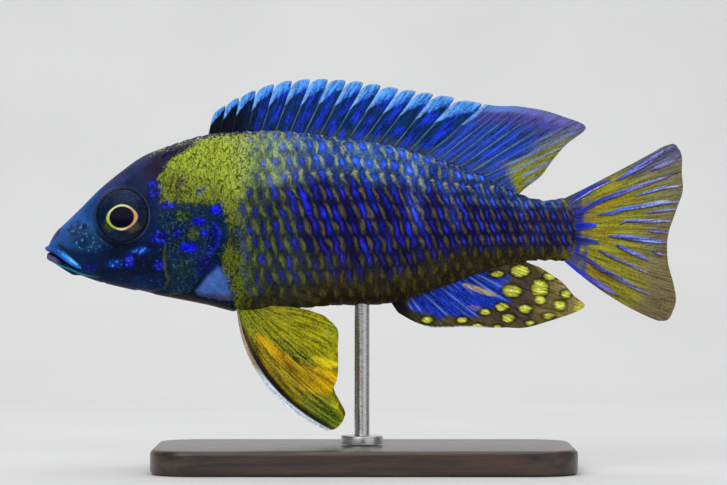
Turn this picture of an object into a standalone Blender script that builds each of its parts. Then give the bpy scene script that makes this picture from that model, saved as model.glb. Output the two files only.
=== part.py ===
"""A male peacock cichlid, life size, swimming over a plain display stand.

Lengths are in metres. The fish faces -X with its mid-plane on Y = 0, so its left side faces -Y.
The origin is the middle of the stand's underside, and +Z is up.
"""

import math

import bmesh
import bpy
import numpy as np
from mathutils import Matrix, Vector

MM = 0.001
GAP = 0.3 * MM  # between pieces that touch
SHARP_ANGLE = math.radians(40)
SIDES = {"left": -1, "right": 1}

# The fish's outline at stations along it, in mm: x, height of the back, of the belly, half width
BODY = (
    (-63.2, 46.3, 41.9, 2.5),  # lips
    (-60.8, 48.4, 40.7, 3.1),
    (-56.8, 52.2, 39.0, 4.2),
    (-52.8, 56.2, 37.6, 5.3),
    (-48.8, 59.5, 36.6, 6.3),  # eye
    (-44.8, 62.4, 35.7, 7.2),
    (-38.8, 64.9, 34.5, 8.1),
    (-31.2, 67.1, 33.0, 8.7),  # front of the dorsal fin
    (-24.8, 67.7, 31.5, 8.7),  # root of the pelvic fins
    (-16.8, 67.8, 32.0, 8.4),
    (-6.8, 66.8, 32.9, 7.6),
    (5.2, 65.0, 33.4, 6.2),  # front of the anal fin
    (15.2, 62.2, 36.4, 4.9),
    (23.2, 59.2, 39.4, 3.9),
    (31.2, 55.2, 41.6, 2.9),
    (36.2, 54.0, 41.9, 2.4),  # tail stalk
    (39.8, 54.4, 41.8, 1.9),
    (42.4, 53.6, 42.4, 1.3),
)
NOSE_X, TAIL_X = BODY[0][0] * MM, BODY[-1][0] * MM
NOSE_ROUND = 2.2 * MM  # length over which the snout rounds off
TAIL_ROUND = 2.4 * MM
BROAD_LEVEL = 0.46  # height of the broadest line, as a share of the body's depth
BACK_FULLNESS, BELLY_FULLNESS = 1.7, 2.2  # 2 is an ellipse, and less is sharper
BODY_RINGS, RING_POINTS = 40, 36

EYE_X, EYE_Z = -48.0 * MM, 50.8 * MM
EYE_RADIUS, EYE_DEPTH = 4.6 * MM, 2.7 * MM  # half sizes of the eyeball, across and into the head
EYE_SUNK = 1.55 * MM  # from the skin in to the eyeball's middle
ORBIT_RIM = 0.6 * MM

LIP_RADIUS, LIP_CORNER_RADIUS = 0.8 * MM, 0.5 * MM
# The mouth line and on round the back of the lower jaw, in mm: x, z
MOUTH_LINE = ((-67.0, 45.6), (-63.4, 43.9), (-60.0, 42.4), (-56.8, 40.9), (-52.2, 38.9), (-50.4, 34.0))
MOUTH_CORNER_X = -56.9 * MM
NOSTRIL_X, NOSTRIL_Z, NOSTRIL_RADIUS = -55.6 * MM, 48.6 * MM, 0.5 * MM

# Outline of the gill cover, and the seam behind it where the head meets the torso, in mm: x, z
GILL_COVER = (
    (-42.4, 50.6), (-38.0, 52.6), (-33.0, 51.8), (-29.2, 49.8), (-27.9, 47.0), (-28.9, 43.8),
    (-31.4, 40.4), (-34.4, 36.9), (-39.2, 36.9), (-40.2, 40.8), (-40.0, 45.0),
)
GILL_SEAM = (
    (-34.0, 74.0), (-31.4, 62.0), (-28.4, 53.0), (-26.9, 49.0), (-26.9, 46.0), (-28.4, 42.4),
    (-27.6, 38.4), (-26.0, 33.6), (-24.9, 29.0),
)
COVER_RAISED, COVER_THICK, COVER_BED = 0.4 * MM, 1.3 * MM, 1.6 * MM
STALK_SEAM_X = 31.0 * MM  # where the torso ends and the tail stalk starts

MEMBRANE, RAY, FIN_EDGE = 0.5 * MM, 1.0 * MM, 0.32 * MM  # fin thicknesses
ROOT_SINK = 1.2 * MM  # fin roots start this far inside the body before they are trimmed to it
RAY_HALF_WIDTH = 0.08  # in steps from one ray to the next

# Fin rays in mm, smooth between the rays listed: ray, base x, tip x, tip z
DORSAL_SPINES = 15
DORSAL_RAYS = (
    (0, -31.2, -29.9, 71.6),
    (2, -26.2, -24.6, 74.8),
    (4, -20.8, -17.4, 77.4),
    (6, -15.2, -10.2, 78.2),
    (8, -9.4, -3.0, 77.9),
    (11, -0.8, 7.6, 76.2),
    (14, 8.4, 19.0, 74.3),
    (15, 11.6, 24.6, 73.1),
    (17, 16.2, 31.4, 72.7),
    (19, 20.6, 39.4, 70.9),
    (20, 22.8, 44.4, 68.6),
    (21, 24.8, 40.6, 65.2),
    (22, 26.8, 37.8, 62.0),
    (23, 28.6, 35.4, 58.8),
    (24, 30.2, 31.9, 56.2),
)
DORSAL_LEAN = 1.5 * MM  # how far the soft rear of the fin bends to one side
# Outer edge of a lappet as shares of the spine's length, at steps from its own spine to the next
LAPPET = ((-0.08, 0.83), (0.0, 0.92), (0.08, 0.955), (0.45, 1.0), (0.84, 0.99))

ANAL_RAYS = (
    (0, 4.9, 6.9, 31.4),
    (1, 6.8, 10.2, 29.6),
    (2, 8.8, 13.8, 28.5),
    (3, 11.0, 19.6, 28.6),
    (5, 15.6, 27.8, 28.5),
    (7, 20.0, 35.4, 29.3),
    (8, 22.4, 43.8, 32.4),
    (9, 25.0, 41.8, 35.0),
    (10, 27.8, 39.3, 37.8),
    (11, 30.6, 35.0, 40.6),
)
ANAL_LEAN = -1.2 * MM

# Ray, base z, how far its middle bows upwards, tip x, tip z
CAUDAL_RAYS = (
    (0, 54.0, -0.2, 61.4, 65.1),
    (1, 53.2, -0.1, 63.2, 63.8),
    (3, 51.6, 0.0, 63.8, 59.0),
    (4, 50.8, 0.0, 64.0, 56.4),
    (6, 49.2, 0.0, 62.6, 51.8),
    (8, 47.6, 0.0, 61.0, 46.8),
    (10, 46.0, 0.0, 61.0, 41.6),
    (12, 44.4, -0.3, 62.2, 36.8),
    (13, 43.7, -0.6, 62.6, 34.2),
    (14, 43.0, -0.9, 61.8, 31.6),
    (15, 42.3, -1.3, 59.2, 29.4),
)
CAUDAL_BASE_X = 39.4 * MM
CAUDAL_BEND = 2.4 * MM  # to one side, as in a swimming stroke

# Pelvic fins hang in a fan, with the leading ray bowed: ray, base x, control x and z, tip x and z
PELVIC_LEFT = (
    (0, -25.4, -24.0, 15.6, -7.6, 8.2),
    (1, -24.6, -20.0, 21.0, -9.6, 11.2),
    (2, -23.8, -18.6, 24.6, -8.4, 14.2),
    (3, -23.0, -17.0, 27.4, -5.6, 16.4),
    (4, -22.2, -14.6, 30.2, -5.2, 23.6),
    (5, -21.4, -13.0, 33.4, -6.2, 30.2),
)
PELVIC_RIGHT = (
    (0, -25.4, -22.6, 15.6, -5.6, 8.4),
    (1, -24.6, -19.0, 21.0, -3.8, 10.8),
    (2, -23.8, -18.0, 24.6, -5.0, 13.6),
    (3, -23.0, -16.6, 27.4, -6.2, 16.4),
    (4, -22.2, -14.6, 30.2, -6.8, 23.6),
    (5, -21.4, -13.4, 33.4, -7.6, 30.0),
)
PELVIC_ROOT_Y, PELVIC_SPREAD = 2.4 * MM, 5.0 * MM

PECTORAL_X, PECTORAL_Z, PECTORAL_ROOT = -24.6 * MM, 39.4 * MM, 4.6 * MM
PECTORAL_RAYS = 12
PECTORAL_SWING = math.radians(33)  # away from the flank
PECTORAL_CUP = 0.12  # how far the blade bows outwards, as a share of its length
# Length in mm and slope in degrees of the rays, from the top one down
PECTORAL_FAN = ((0, 19.0, 6.0), (2, 22.5, 0.0), (5, 21.0, -11.0), (8, 16.5, -26.0), (11, 11.0, -44.0))

BASE_LENGTH, BASE_WIDTH, BASE_THICK = 84 * MM, 44 * MM, 5 * MM
BASE_CORNER, BASE_BEVEL = 9 * MM, 1.0 * MM
ROD_X, ROD_RADIUS = -0.4 * MM, 1.5 * MM
FLANGE_RADIUS, FLANGE_THICK = 4.2 * MM, 1.6 * MM

LOOKS = {  # sRGB hex, roughness, metallic
    "blue_skin": ("1E3C8C", 0.38, 0.0),
    "olive_skin": ("8E8A2E", 0.40, 0.0),
    "blue_fin": ("2440B0", 0.42, 0.0),
    "olive_fin": ("9C9440", 0.42, 0.0),
    "clear_fin": ("C8CDB4", 0.35, 0.0),
    "eye": ("0A0F2C", 0.10, 0.0),
    "stand_wood": ("2B211C", 0.45, 0.0),
    "stand_steel": ("9DA1A6", 0.30, 1.0),
}


def clear_scene():
    for obj in list(bpy.data.objects):
        bpy.data.objects.remove(obj, do_unlink=True)


def collection(name, shown=True):
    made = bpy.data.collections.new(name)
    bpy.context.scene.collection.children.link(made)
    made.hide_render = not shown
    return made


def linear(channel):
    return channel / 12.92 if channel <= 0.04045 else ((channel + 0.055) / 1.055) ** 2.4


def finish(obj, look):
    """Gives a finished sub-part its own material, and smooth shading away from its edges."""
    hex_colour, roughness, metallic = LOOKS[look]
    made = bpy.data.materials.new(f"{obj.name} {look}")
    made.use_nodes = True
    shader = made.node_tree.nodes["Principled BSDF"]
    rgb = [linear(int(hex_colour[i : i + 2], 16) / 255) for i in (0, 2, 4)]
    shader.inputs["Base Color"].default_value = (*rgb, 1.0)
    shader.inputs["Roughness"].default_value = roughness
    shader.inputs["Metallic"].default_value = metallic
    obj.data.materials.clear()
    obj.data.materials.append(made)
    obj.data.shade_smooth()
    obj.data.set_sharp_from_angle(angle=SHARP_ANGLE)


def smooth(stations, t):
    """The values at t on a smooth curve through stations, each of which is t and its values."""
    table = np.array(stations, float)
    at, rows = table[:, 0], table[:, 1:]
    slopes = np.gradient(rows, at, axis=0)
    i = int(np.clip(np.searchsorted(at, t) - 1, 0, len(at) - 2))
    span = at[i + 1] - at[i]
    s = (t - at[i]) / span
    start = (1 + 2 * s) * (1 - s) ** 2 * rows[i] + s * (1 - s) ** 2 * span * slopes[i]
    return start + s * s * (3 - 2 * s) * rows[i + 1] + s * s * (s - 1) * span * slopes[i + 1]


def rounding(distance, length):
    """How much of the full section there is at a distance from a rounded end."""
    share = min(max(distance / length, 0.0), 1.0)
    return math.sqrt(1 - (1 - share) ** 2)


def section(x, grow=0.0):
    """Broadest level, half width, height above it and depth below it of the body at x."""
    back, belly, wide = smooth(BODY, min(max(x, NOSE_X), TAIL_X) / MM) * MM
    level = belly + BROAD_LEVEL * (back - belly)
    end = rounding(x - NOSE_X + grow, NOSE_ROUND + grow) * rounding(TAIL_X + grow - x, TAIL_ROUND + grow)
    return level, (wide + grow) * end, (back - level + grow) * end, (level - belly + grow) * end


def back_z(x):
    level, _, up, _ = section(x)
    return level + up


def belly_z(x):
    level, _, _, down = section(x)
    return level - down


def side_y(x, z):
    """Distance from the mid-plane to the skin at x and height z."""
    level, wide, up, down = section(x)
    high = z > level
    rise = min(abs(z - level) / max(up if high else down, 1e-9), 1.0)
    return wide * (1 - rise**2) ** (1 / (BACK_FULLNESS if high else BELLY_FULLNESS))


def skin_normal(x, z):
    """Unit vector out of the right flank at x and z."""
    step = 0.4 * MM
    by_x = (side_y(x + step, z) - side_y(x - step, z)) / (2 * step)
    by_z = (side_y(x, z + step) - side_y(x, z - step)) / (2 * step)
    return Vector((-by_x, 1.0, -by_z)).normalized()


def new_object(name, mesh, where):
    made = bpy.data.objects.new(name, mesh)
    where.objects.link(made)
    return made


def ring_places(grow):
    """Stations for the body's rings, close together where its ends round off."""
    ends = [1 - math.cos(math.radians(a)) for a in (18, 36, 56, 76)]
    nose = [NOSE_X - grow + (NOSE_ROUND + grow) * e for e in ends]
    tail = [TAIL_X + grow - (TAIL_ROUND + grow) * e for e in reversed(ends)]
    return nose + list(np.linspace(NOSE_X + NOSE_ROUND, TAIL_X - TAIL_ROUND, BODY_RINGS)) + tail


def body_ring(x, grow):
    level, wide, up, down = section(x, grow)
    points = []
    for k in range(RING_POINTS):
        angle = 2 * math.pi * k / RING_POINTS
        rise, across = math.sin(angle), math.cos(angle)
        fullness = BACK_FULLNESS if rise > 0 else BELLY_FULLNESS
        y = math.copysign(wide * abs(across) ** (2 / fullness), across)
        points.append((x, y, level + (up if rise > 0 else down) * rise))
    return points


def body_solid(name, grow, where):
    """The whole body as a loft, made larger all round by grow."""
    bm = bmesh.new()
    places = ring_places(grow)
    rings = [[bm.verts.new(p) for p in body_ring(x, grow)] for x in places]
    tips = [
        bm.verts.new((NOSE_X - grow, 0, section(places[0], grow)[0])),
        bm.verts.new((TAIL_X + grow, 0, section(places[-1], grow)[0])),
    ]
    for k in range(RING_POINTS):
        n = (k + 1) % RING_POINTS
        bm.faces.new((tips[0], rings[0][k], rings[0][n]))
        bm.faces.new((tips[1], rings[-1][n], rings[-1][k]))
        for a, b in zip(rings, rings[1:]):
            bm.faces.new((a[k], b[k], b[n], a[n]))
    bmesh.ops.recalc_face_normals(bm, faces=bm.faces)
    mesh = bpy.data.meshes.new(name)
    bm.to_mesh(mesh)
    bm.free()
    return new_object(name, mesh, where)


def replace_mesh(obj, bm):
    bm.to_mesh(obj.data)
    bm.free()


def applied(obj):
    """Turns the object into the plain mesh that its modifiers, or its curve, make."""
    bpy.context.view_layer.update()
    graph = bpy.context.evaluated_depsgraph_get()
    mesh = bpy.data.meshes.new_from_object(obj.evaluated_get(graph))
    if obj.type == "MESH":
        obj.modifiers.clear()
        obj.data = mesh
        return obj
    made = new_object(obj.name + "_mesh", mesh, obj.users_collection[0])
    made.matrix_world = obj.matrix_world.copy()
    name = obj.name
    bpy.data.objects.remove(obj)
    made.name = name
    bm = bmesh.new()
    bm.from_mesh(mesh)
    bmesh.ops.remove_doubles(bm, verts=bm.verts, dist=0.001 * MM)
    bmesh.ops.recalc_face_normals(bm, faces=bm.faces)
    replace_mesh(made, bm)
    return made


def combine(target, operation, others, keep=False):
    """Joins, cuts or intersects target with other closed objects, which are then removed."""
    group = bpy.data.collections.new("operands")
    bpy.context.scene.collection.children.link(group)
    for other in others:
        group.objects.link(other)
    modifier = target.modifiers.new(operation.title(), "BOOLEAN")
    modifier.operation = operation
    modifier.operand_type = "COLLECTION"
    modifier.collection = group
    modifier.solver = "EXACT"
    modifier.use_self = operation == "UNION"
    applied(target)
    for other in others:
        group.objects.unlink(other)
        if not keep:
            bpy.data.objects.remove(other)
    bpy.data.collections.remove(group)
    return target


def islands(bm):
    """The closed surfaces in a mesh, as lists of faces, the largest in area first."""
    left, found = set(bm.faces), []
    while left:
        stack, island = [left.pop()], []
        while stack:
            face = stack.pop()
            island.append(face)
            for edge in face.edges:
                for near in edge.link_faces:
                    if near in left:
                        left.remove(near)
                        stack.append(near)
        found.append(island)
    return sorted(found, key=lambda faces: -sum(f.calc_area() for f in faces))


def keep_largest(obj):
    bm = bmesh.new()
    bm.from_mesh(obj.data)
    scraps = [f for island in islands(bm)[1:] for f in island]
    bmesh.ops.delete(bm, geom=scraps, context="FACES")
    replace_mesh(obj, bm)
    return obj


def piece_at(whole, name, x, z, where):
    """A new object from the island of whole whose box holds the point (x, 0, z) most tightly."""
    bm = bmesh.new()
    bm.from_mesh(whole.data)

    def size_if_inside(faces):
        points = np.array([v.co for f in faces for v in f.verts])
        low, high = points.min(0), points.max(0)
        inside = bool(((low < (x, 0, z)) & (high > (x, 0, z))).all())
        return float(np.prod(high - low)) if inside else math.inf

    wanted = min(islands(bm), key=size_if_inside)
    bmesh.ops.delete(bm, geom=list(set(bm.faces) - set(wanted)), context="FACES")
    made = new_object(name, bpy.data.meshes.new(name), where)
    replace_mesh(made, bm)
    return made


def ribbon(name, path, where):
    """A thin upright sheet through the whole fish along a path of x and z, for a seam."""
    reach = 16 * MM
    bm = bmesh.new()
    near = [bm.verts.new((x, -reach, z)) for x, z in path]
    edges = [bm.edges.new(pair) for pair in zip(near, near[1:])]
    grown = bmesh.ops.extrude_edge_only(bm, edges=edges)
    moved = [v for v in grown["geom"] if isinstance(v, bmesh.types.BMVert)]
    bmesh.ops.translate(bm, vec=(0, 2 * reach, 0), verts=moved)
    made = new_object(name, bpy.data.meshes.new(name), where)
    replace_mesh(made, bm)
    solidify = made.modifiers.new("Solidify", "SOLIDIFY")
    solidify.thickness = GAP
    solidify.offset = 0
    return applied(made)


def smooth_path(points, steps):
    """A smooth open path in metres through points in mm."""
    along = [(i, *point) for i, point in enumerate(points)]
    return [tuple(smooth(along, t) * MM) for t in np.linspace(0, len(points) - 1, steps)]


def smooth_loop(points, steps, grow=0.0):
    """A smooth closed outline in metres through points in mm, moved outwards by grow."""
    wrapped = list(points[-2:]) + list(points) + list(points[:3])
    along = [(i - 2, *point) for i, point in enumerate(wrapped)]
    turns = np.linspace(0, len(points), steps, endpoint=False)
    loop = np.array([smooth(along, t) * MM for t in turns])
    run = np.roll(loop, -1, axis=0) - np.roll(loop, 1, axis=0)
    out = np.stack([run[:, 1], -run[:, 0]], 1) / np.linalg.norm(run, axis=1)[:, None]
    middle = loop.mean(0)
    if ((loop - middle) * out).sum() < 0:
        out = -out
    return loop + out * grow


def prism(name, loop, side, where):
    """The outline of x and z carried out through one flank, from near the mid-plane."""
    inner, reach = 1 * MM, 15 * MM
    curve = bpy.data.curves.new(name, "CURVE")
    curve.dimensions = "2D"
    curve.fill_mode = "BOTH"
    curve.extrude = reach / 2
    spline = curve.splines.new("POLY")
    spline.points.add(len(loop) - 1)
    for point, (x, z) in zip(spline.points, loop):
        point.co = (x, z, 0, 1)
    spline.use_cyclic_u = True
    made = bpy.data.objects.new(name, curve)
    where.objects.link(made)
    made.location = (0, side * (inner + reach / 2), 0)
    made.rotation_euler = (math.pi / 2, 0, 0)
    return applied(made)


def lip(name, lift, where):
    """A roll along the mouth line, from one corner round the snout to the other."""
    inner = [NOSE_X + NOSE_ROUND * (1 - math.cos(math.radians(a))) for a in (8, 25, 45, 68)]
    places = inner + list(np.linspace(NOSE_X + 1.25 * NOSE_ROUND, MOUTH_CORNER_X, 7))
    half = []
    for x in places:
        z = smooth(MOUTH_LINE, x / MM)[0] * MM
        half.append(Vector((x, side_y(x, z), z + lift)))
    line = [Vector((p.x, -p.y, p.z)) for p in reversed(half)] + half
    curve = bpy.data.curves.new(name, "CURVE")
    curve.dimensions = "3D"
    curve.bevel_depth = LIP_RADIUS
    curve.bevel_resolution = 1
    curve.use_fill_caps = True
    spline = curve.splines.new("POLY")
    spline.points.add(len(line) - 1)
    for point, co in zip(spline.points, line):
        point.co = (*co, 1)
        share = (co.x - NOSE_X) / (MOUTH_CORNER_X - NOSE_X)
        point.radius = 1 + (LIP_CORNER_RADIUS / LIP_RADIUS - 1) * share
    made = bpy.data.objects.new(name, curve)
    where.objects.link(made)
    return applied(made)


def eye_frame(side):
    """Turns a shape whose depth runs along Y to lie against the head where the eye is."""
    outward = skin_normal(EYE_X, EYE_Z)
    outward.y *= side
    turn = Vector((0, 1, 0)).rotation_difference(outward).to_matrix().to_4x4()
    if side < 0:
        turn = Vector((0, -1, 0)).rotation_difference(outward).to_matrix().to_4x4()
    skin = Vector((EYE_X, side * side_y(EYE_X, EYE_Z), EYE_Z))
    return Matrix.Translation(skin - outward * EYE_SUNK) @ turn, outward


def eyeball(name, side, grow, where):
    frame, _ = eye_frame(side)
    bm = bmesh.new()
    bmesh.ops.create_uvsphere(bm, u_segments=20, v_segments=12, radius=1.0)
    across, deep = EYE_RADIUS + grow, EYE_DEPTH + grow
    pole_to_y = Matrix.Rotation(math.pi / 2, 4, "X")
    shape = frame @ Matrix.Diagonal((across, deep, across, 1)) @ pole_to_y
    bmesh.ops.transform(bm, matrix=shape, verts=bm.verts)
    bmesh.ops.recalc_face_normals(bm, faces=bm.faces)
    made = new_object(name, bpy.data.meshes.new(name), where)
    replace_mesh(made, bm)
    return made


def orbit_rim(name, side, where):
    """The raised ring of skin round the eye."""
    frame, outward = eye_frame(side)
    bpy.ops.mesh.primitive_torus_add(
        major_segments=24,
        minor_segments=6,
        major_radius=EYE_RADIUS + 0.5 * ORBIT_RIM,
        minor_radius=ORBIT_RIM,
    )
    made = bpy.context.active_object
    made.name = name
    for old in list(made.users_collection):
        old.objects.unlink(made)
    where.objects.link(made)
    lift = Matrix.Translation(outward * (EYE_SUNK - 0.2 * MM))
    made.data.transform(lift @ frame @ Matrix.Rotation(math.pi / 2, 4, "X"))
    return made


def nostril(name, side, where):
    """A short pit in the snout, to be cut."""
    outward = skin_normal(NOSTRIL_X, NOSTRIL_Z)
    outward.y *= side
    spot = Vector((NOSTRIL_X, side * side_y(NOSTRIL_X, NOSTRIL_Z), NOSTRIL_Z))
    turn = Vector((0, 0, 1)).rotation_difference(outward).to_matrix().to_4x4()
    bm = bmesh.new()
    bmesh.ops.create_cone(
        bm, cap_ends=True, segments=10, radius1=0.6 * NOSTRIL_RADIUS, radius2=NOSTRIL_RADIUS, depth=2 * MM
    )
    bmesh.ops.transform(bm, matrix=Matrix.Translation(spot) @ turn, verts=bm.verts)
    made = new_object(name, bpy.data.meshes.new(name), where)
    replace_mesh(made, bm)
    return made


def make_body(shown, helpers):
    """Head, lower jaw, torso and tail stalk, modelled whole and parted by thin seams."""
    whole = body_solid("whole_body", 0.0, helpers)
    rolls = [lip("upper_lip", 0.95 * LIP_RADIUS, helpers), lip("lower_lip", -0.85 * LIP_RADIUS, helpers)]
    rims = [orbit_rim(f"rim_{name}", side, helpers) for name, side in SIDES.items()]
    combine(whole, "UNION", rolls + rims)
    bed_floor = body_solid("bed_floor", -COVER_BED, helpers)
    cutters = []
    for name, side in SIDES.items():
        bed = prism(f"bed_{name}", smooth_loop(GILL_COVER, 40, GAP), side, helpers)
        cutters.append(combine(bed, "DIFFERENCE", [bed_floor], keep=True))
        cutters.append(eyeball(f"socket_{name}", side, GAP, helpers))
        cutters.append(nostril(f"nostril_{name}", side, helpers))
    for cutter in cutters:
        combine(whole, "DIFFERENCE", [cutter])
    bpy.data.objects.remove(bed_floor)
    mouth = ribbon("mouth_seam", [(x * MM, z * MM) for x, z in MOUTH_LINE], helpers)
    gill = ribbon("gill_seam", smooth_path(GILL_SEAM, 22), helpers)
    stalk = ribbon("stalk_seam", [(STALK_SEAM_X, 20 * MM), (STALK_SEAM_X, 80 * MM)], helpers)
    for seam in (mouth, gill, stalk):
        combine(whole, "DIFFERENCE", [seam])
    parts = {  # a point inside each, and its look
        "head": (-44.0, 56.0, "blue_skin"),
        "lower_jaw": (-60.0, 41.2, "blue_skin"),
        "torso": (-5.0, 50.0, "olive_skin"),
        "tail_stalk": (36.0, 48.0, "blue_skin"),
    }
    for name, (x, z, look) in parts.items():
        finish(piece_at(whole, name, x * MM, z * MM, shown), look)
    bpy.data.objects.remove(whole)


def make_gill_covers(shown, helpers):
    for name, side in SIDES.items():
        cover = body_solid(f"gill_cover_{name}", COVER_RAISED, shown)
        combine(cover, "INTERSECT", [prism("cover_outline", smooth_loop(GILL_COVER, 40), side, helpers)])
        combine(cover, "DIFFERENCE", [body_solid("cover_inside", -COVER_THICK, helpers)])
        finish(keep_largest(cover), "blue_skin")


def make_eyes(shown):
    for name, side in SIDES.items():
        finish(eyeball(f"eye_{name}", side, 0.0, shown), "eye")


def ray_columns(first, last):
    """Places across a soft fin, three to a ray: its two flanks and its crest."""
    across = (-RAY_HALF_WIDTH, 0, RAY_HALF_WIDTH)
    return [(ray + step, step == 0) for ray in range(first, last + 1) for step in across]


def fin(name, columns, rows, point, look, clearance, shown):
    """A membrane with its rays raised on both faces, trimmed to the body at its root.

    columns are (place across the fin, whether a ray's crest runs there), and point(u, v) is the
    fin's middle surface at place u and share v of the way from the root to the edge.
    """
    bm = bmesh.new()
    bmesh.ops.create_grid(bm, x_segments=len(columns) - 1, y_segments=rows - 1, size=0.5)
    weights = {}
    for vert in bm.verts:
        column = round((vert.co.x + 0.5) * (len(columns) - 1))
        v = vert.co.y + 0.5
        u, crest = columns[column]
        vert.co = point(u, v)
        thick = RAY + (MEMBRANE - RAY) * v if crest else MEMBRANE
        weights[vert.index] = (FIN_EDGE if v > 0.99 else thick) / RAY
    bmesh.ops.triangulate(bm, faces=bm.faces, quad_method="FIXED")
    made = new_object(name, bpy.data.meshes.new(name), shown)
    replace_mesh(made, bm)
    group = made.vertex_groups.new(name="thickness")
    for index, weight in weights.items():
        group.add([index], weight, "REPLACE")
    solidify = made.modifiers.new("Solidify", "SOLIDIFY")
    solidify.thickness = RAY
    solidify.offset = 0
    solidify.vertex_group = "thickness"
    applied(made)
    combine(made, "DIFFERENCE", [clearance], keep=True)
    finish(keep_largest(made), look)


def bowed(base, control, tip, v):
    """A point on the curve that leaves base towards control and ends at tip."""
    return base * (1 - v) ** 2 + control * 2 * v * (1 - v) + tip * v * v


def dorsal_point(u, v):
    base_x, tip_x, tip_z = smooth(DORSAL_RAYS, u) * MM
    reach = 1.0
    if u < DORSAL_SPINES - 0.1:
        spine = math.floor(u + RAY_HALF_WIDTH + 1e-6)
        reach = np.interp(u - spine, *zip(*LAPPET))
    share = v * reach
    base = Vector((base_x, 0, back_z(base_x) - ROOT_SINK))
    tip = Vector((tip_x, 0, tip_z))
    lean = DORSAL_LEAN * (u / DORSAL_RAYS[-1][0]) ** 2 * share**2
    return base.lerp(tip, share) + Vector((0, lean, 0))


def make_dorsal_fin(clearance, shown):
    spiny = [(spine + step, step == 0) for spine in range(DORSAL_SPINES) for step, _ in LAPPET]
    columns = spiny + ray_columns(DORSAL_SPINES, DORSAL_RAYS[-1][0])
    fin("dorsal_fin", columns, 6, dorsal_point, "blue_fin", clearance, shown)


def anal_point(u, v):
    base_x, tip_x, tip_z = smooth(ANAL_RAYS, u) * MM
    base = Vector((base_x, 0, belly_z(base_x) + ROOT_SINK))
    tip = Vector((tip_x, ANAL_LEAN * (u / ANAL_RAYS[-1][0]), tip_z))
    control = base.lerp(Vector((tip.x, 0, tip.z)), 0.5) - Vector((0, 0, 0.4 * MM))
    return bowed(base, control, tip, v)


def caudal_point(u, v):
    base_z, bow, tip_x, tip_z = smooth(CAUDAL_RAYS, u) * MM
    base = Vector((CAUDAL_BASE_X, 0, base_z))
    tip = Vector((tip_x, CAUDAL_BEND, tip_z))
    control = Vector((0.5 * (base.x + tip.x), 0, 0.5 * (base.z + tip.z) + 2 * bow))
    return bowed(base, control, tip, v)


def pelvic_point(rays, side):
    def point(u, v):
        base_x, control_x, control_z, tip_x, tip_z = smooth(rays, u) * MM
        root_y = side * PELVIC_ROOT_Y
        base = Vector((base_x, root_y, belly_z(base_x) + ROOT_SINK))
        control = Vector((control_x, root_y + side * 0.4 * PELVIC_SPREAD, control_z))
        tip = Vector((tip_x, root_y + side * PELVIC_SPREAD, tip_z))
        return bowed(base, control, tip, v)

    return point


def pectoral_point(side):
    def point(u, v):
        length, slope = smooth(PECTORAL_FAN, u)
        share = u / (PECTORAL_RAYS - 1)
        root_z = PECTORAL_Z + PECTORAL_ROOT * (0.5 - share)
        base = Vector((PECTORAL_X, side * (side_y(PECTORAL_X, root_z) - ROOT_SINK), root_z))
        run = length * MM * math.cos(math.radians(slope))
        rise = length * MM * math.sin(math.radians(slope))
        out = Vector((run * math.cos(PECTORAL_SWING), side * run * math.sin(PECTORAL_SWING), rise))
        cup = PECTORAL_CUP * run * v * (1 - v)
        return base + out * v + Vector((0, side * cup, 0))

    return point


def make_fins(shown, helpers):
    clearance = body_solid("fin_clearance", GAP, helpers)
    make_dorsal_fin(clearance, shown)
    anal_columns = ray_columns(0, ANAL_RAYS[-1][0])
    fin("anal_fin", anal_columns, 6, anal_point, "blue_fin", clearance, shown)
    caudal_columns = ray_columns(0, CAUDAL_RAYS[-1][0])
    fin("caudal_fin", caudal_columns, 8, caudal_point, "olive_fin", clearance, shown)
    for name, side in SIDES.items():
        rays = PELVIC_LEFT if side < 0 else PELVIC_RIGHT
        columns = ray_columns(0, rays[-1][0])
        fin(f"pelvic_fin_{name}", columns, 9, pelvic_point(rays, side), "olive_fin", clearance, shown)
        columns = ray_columns(0, PECTORAL_RAYS - 1)
        fin(f"pectoral_fin_{name}", columns, 6, pectoral_point(side), "clear_fin", clearance, shown)
    make_rod(clearance, shown)
    bpy.data.objects.remove(clearance)


def make_rod(clearance, shown):
    """The rod under the belly, turned with a flange at its foot."""
    foot = BASE_THICK + GAP
    top = belly_z(ROD_X) + ROOT_SINK
    profile = ((0, top), (ROD_RADIUS, top), (ROD_RADIUS, foot + FLANGE_THICK),
               (FLANGE_RADIUS, foot + FLANGE_THICK), (FLANGE_RADIUS, foot), (0, foot))
    bm = bmesh.new()
    verts = [bm.verts.new((x, 0, z)) for x, z in profile]
    for pair in zip(verts, verts[1:]):
        bm.edges.new(pair)
    made = new_object("stand_rod", bpy.data.meshes.new("stand_rod"), shown)
    replace_mesh(made, bm)
    screw = made.modifiers.new("Screw", "SCREW")
    screw.steps = screw.render_steps = 20
    screw.use_merge_vertices = True
    screw.merge_threshold = 0.001 * MM
    applied(made)
    made.data.transform(Matrix.Translation((ROD_X, 0, 0)))
    combine(made, "DIFFERENCE", [clearance], keep=True)
    finish(keep_largest(made), "stand_steel")


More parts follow.
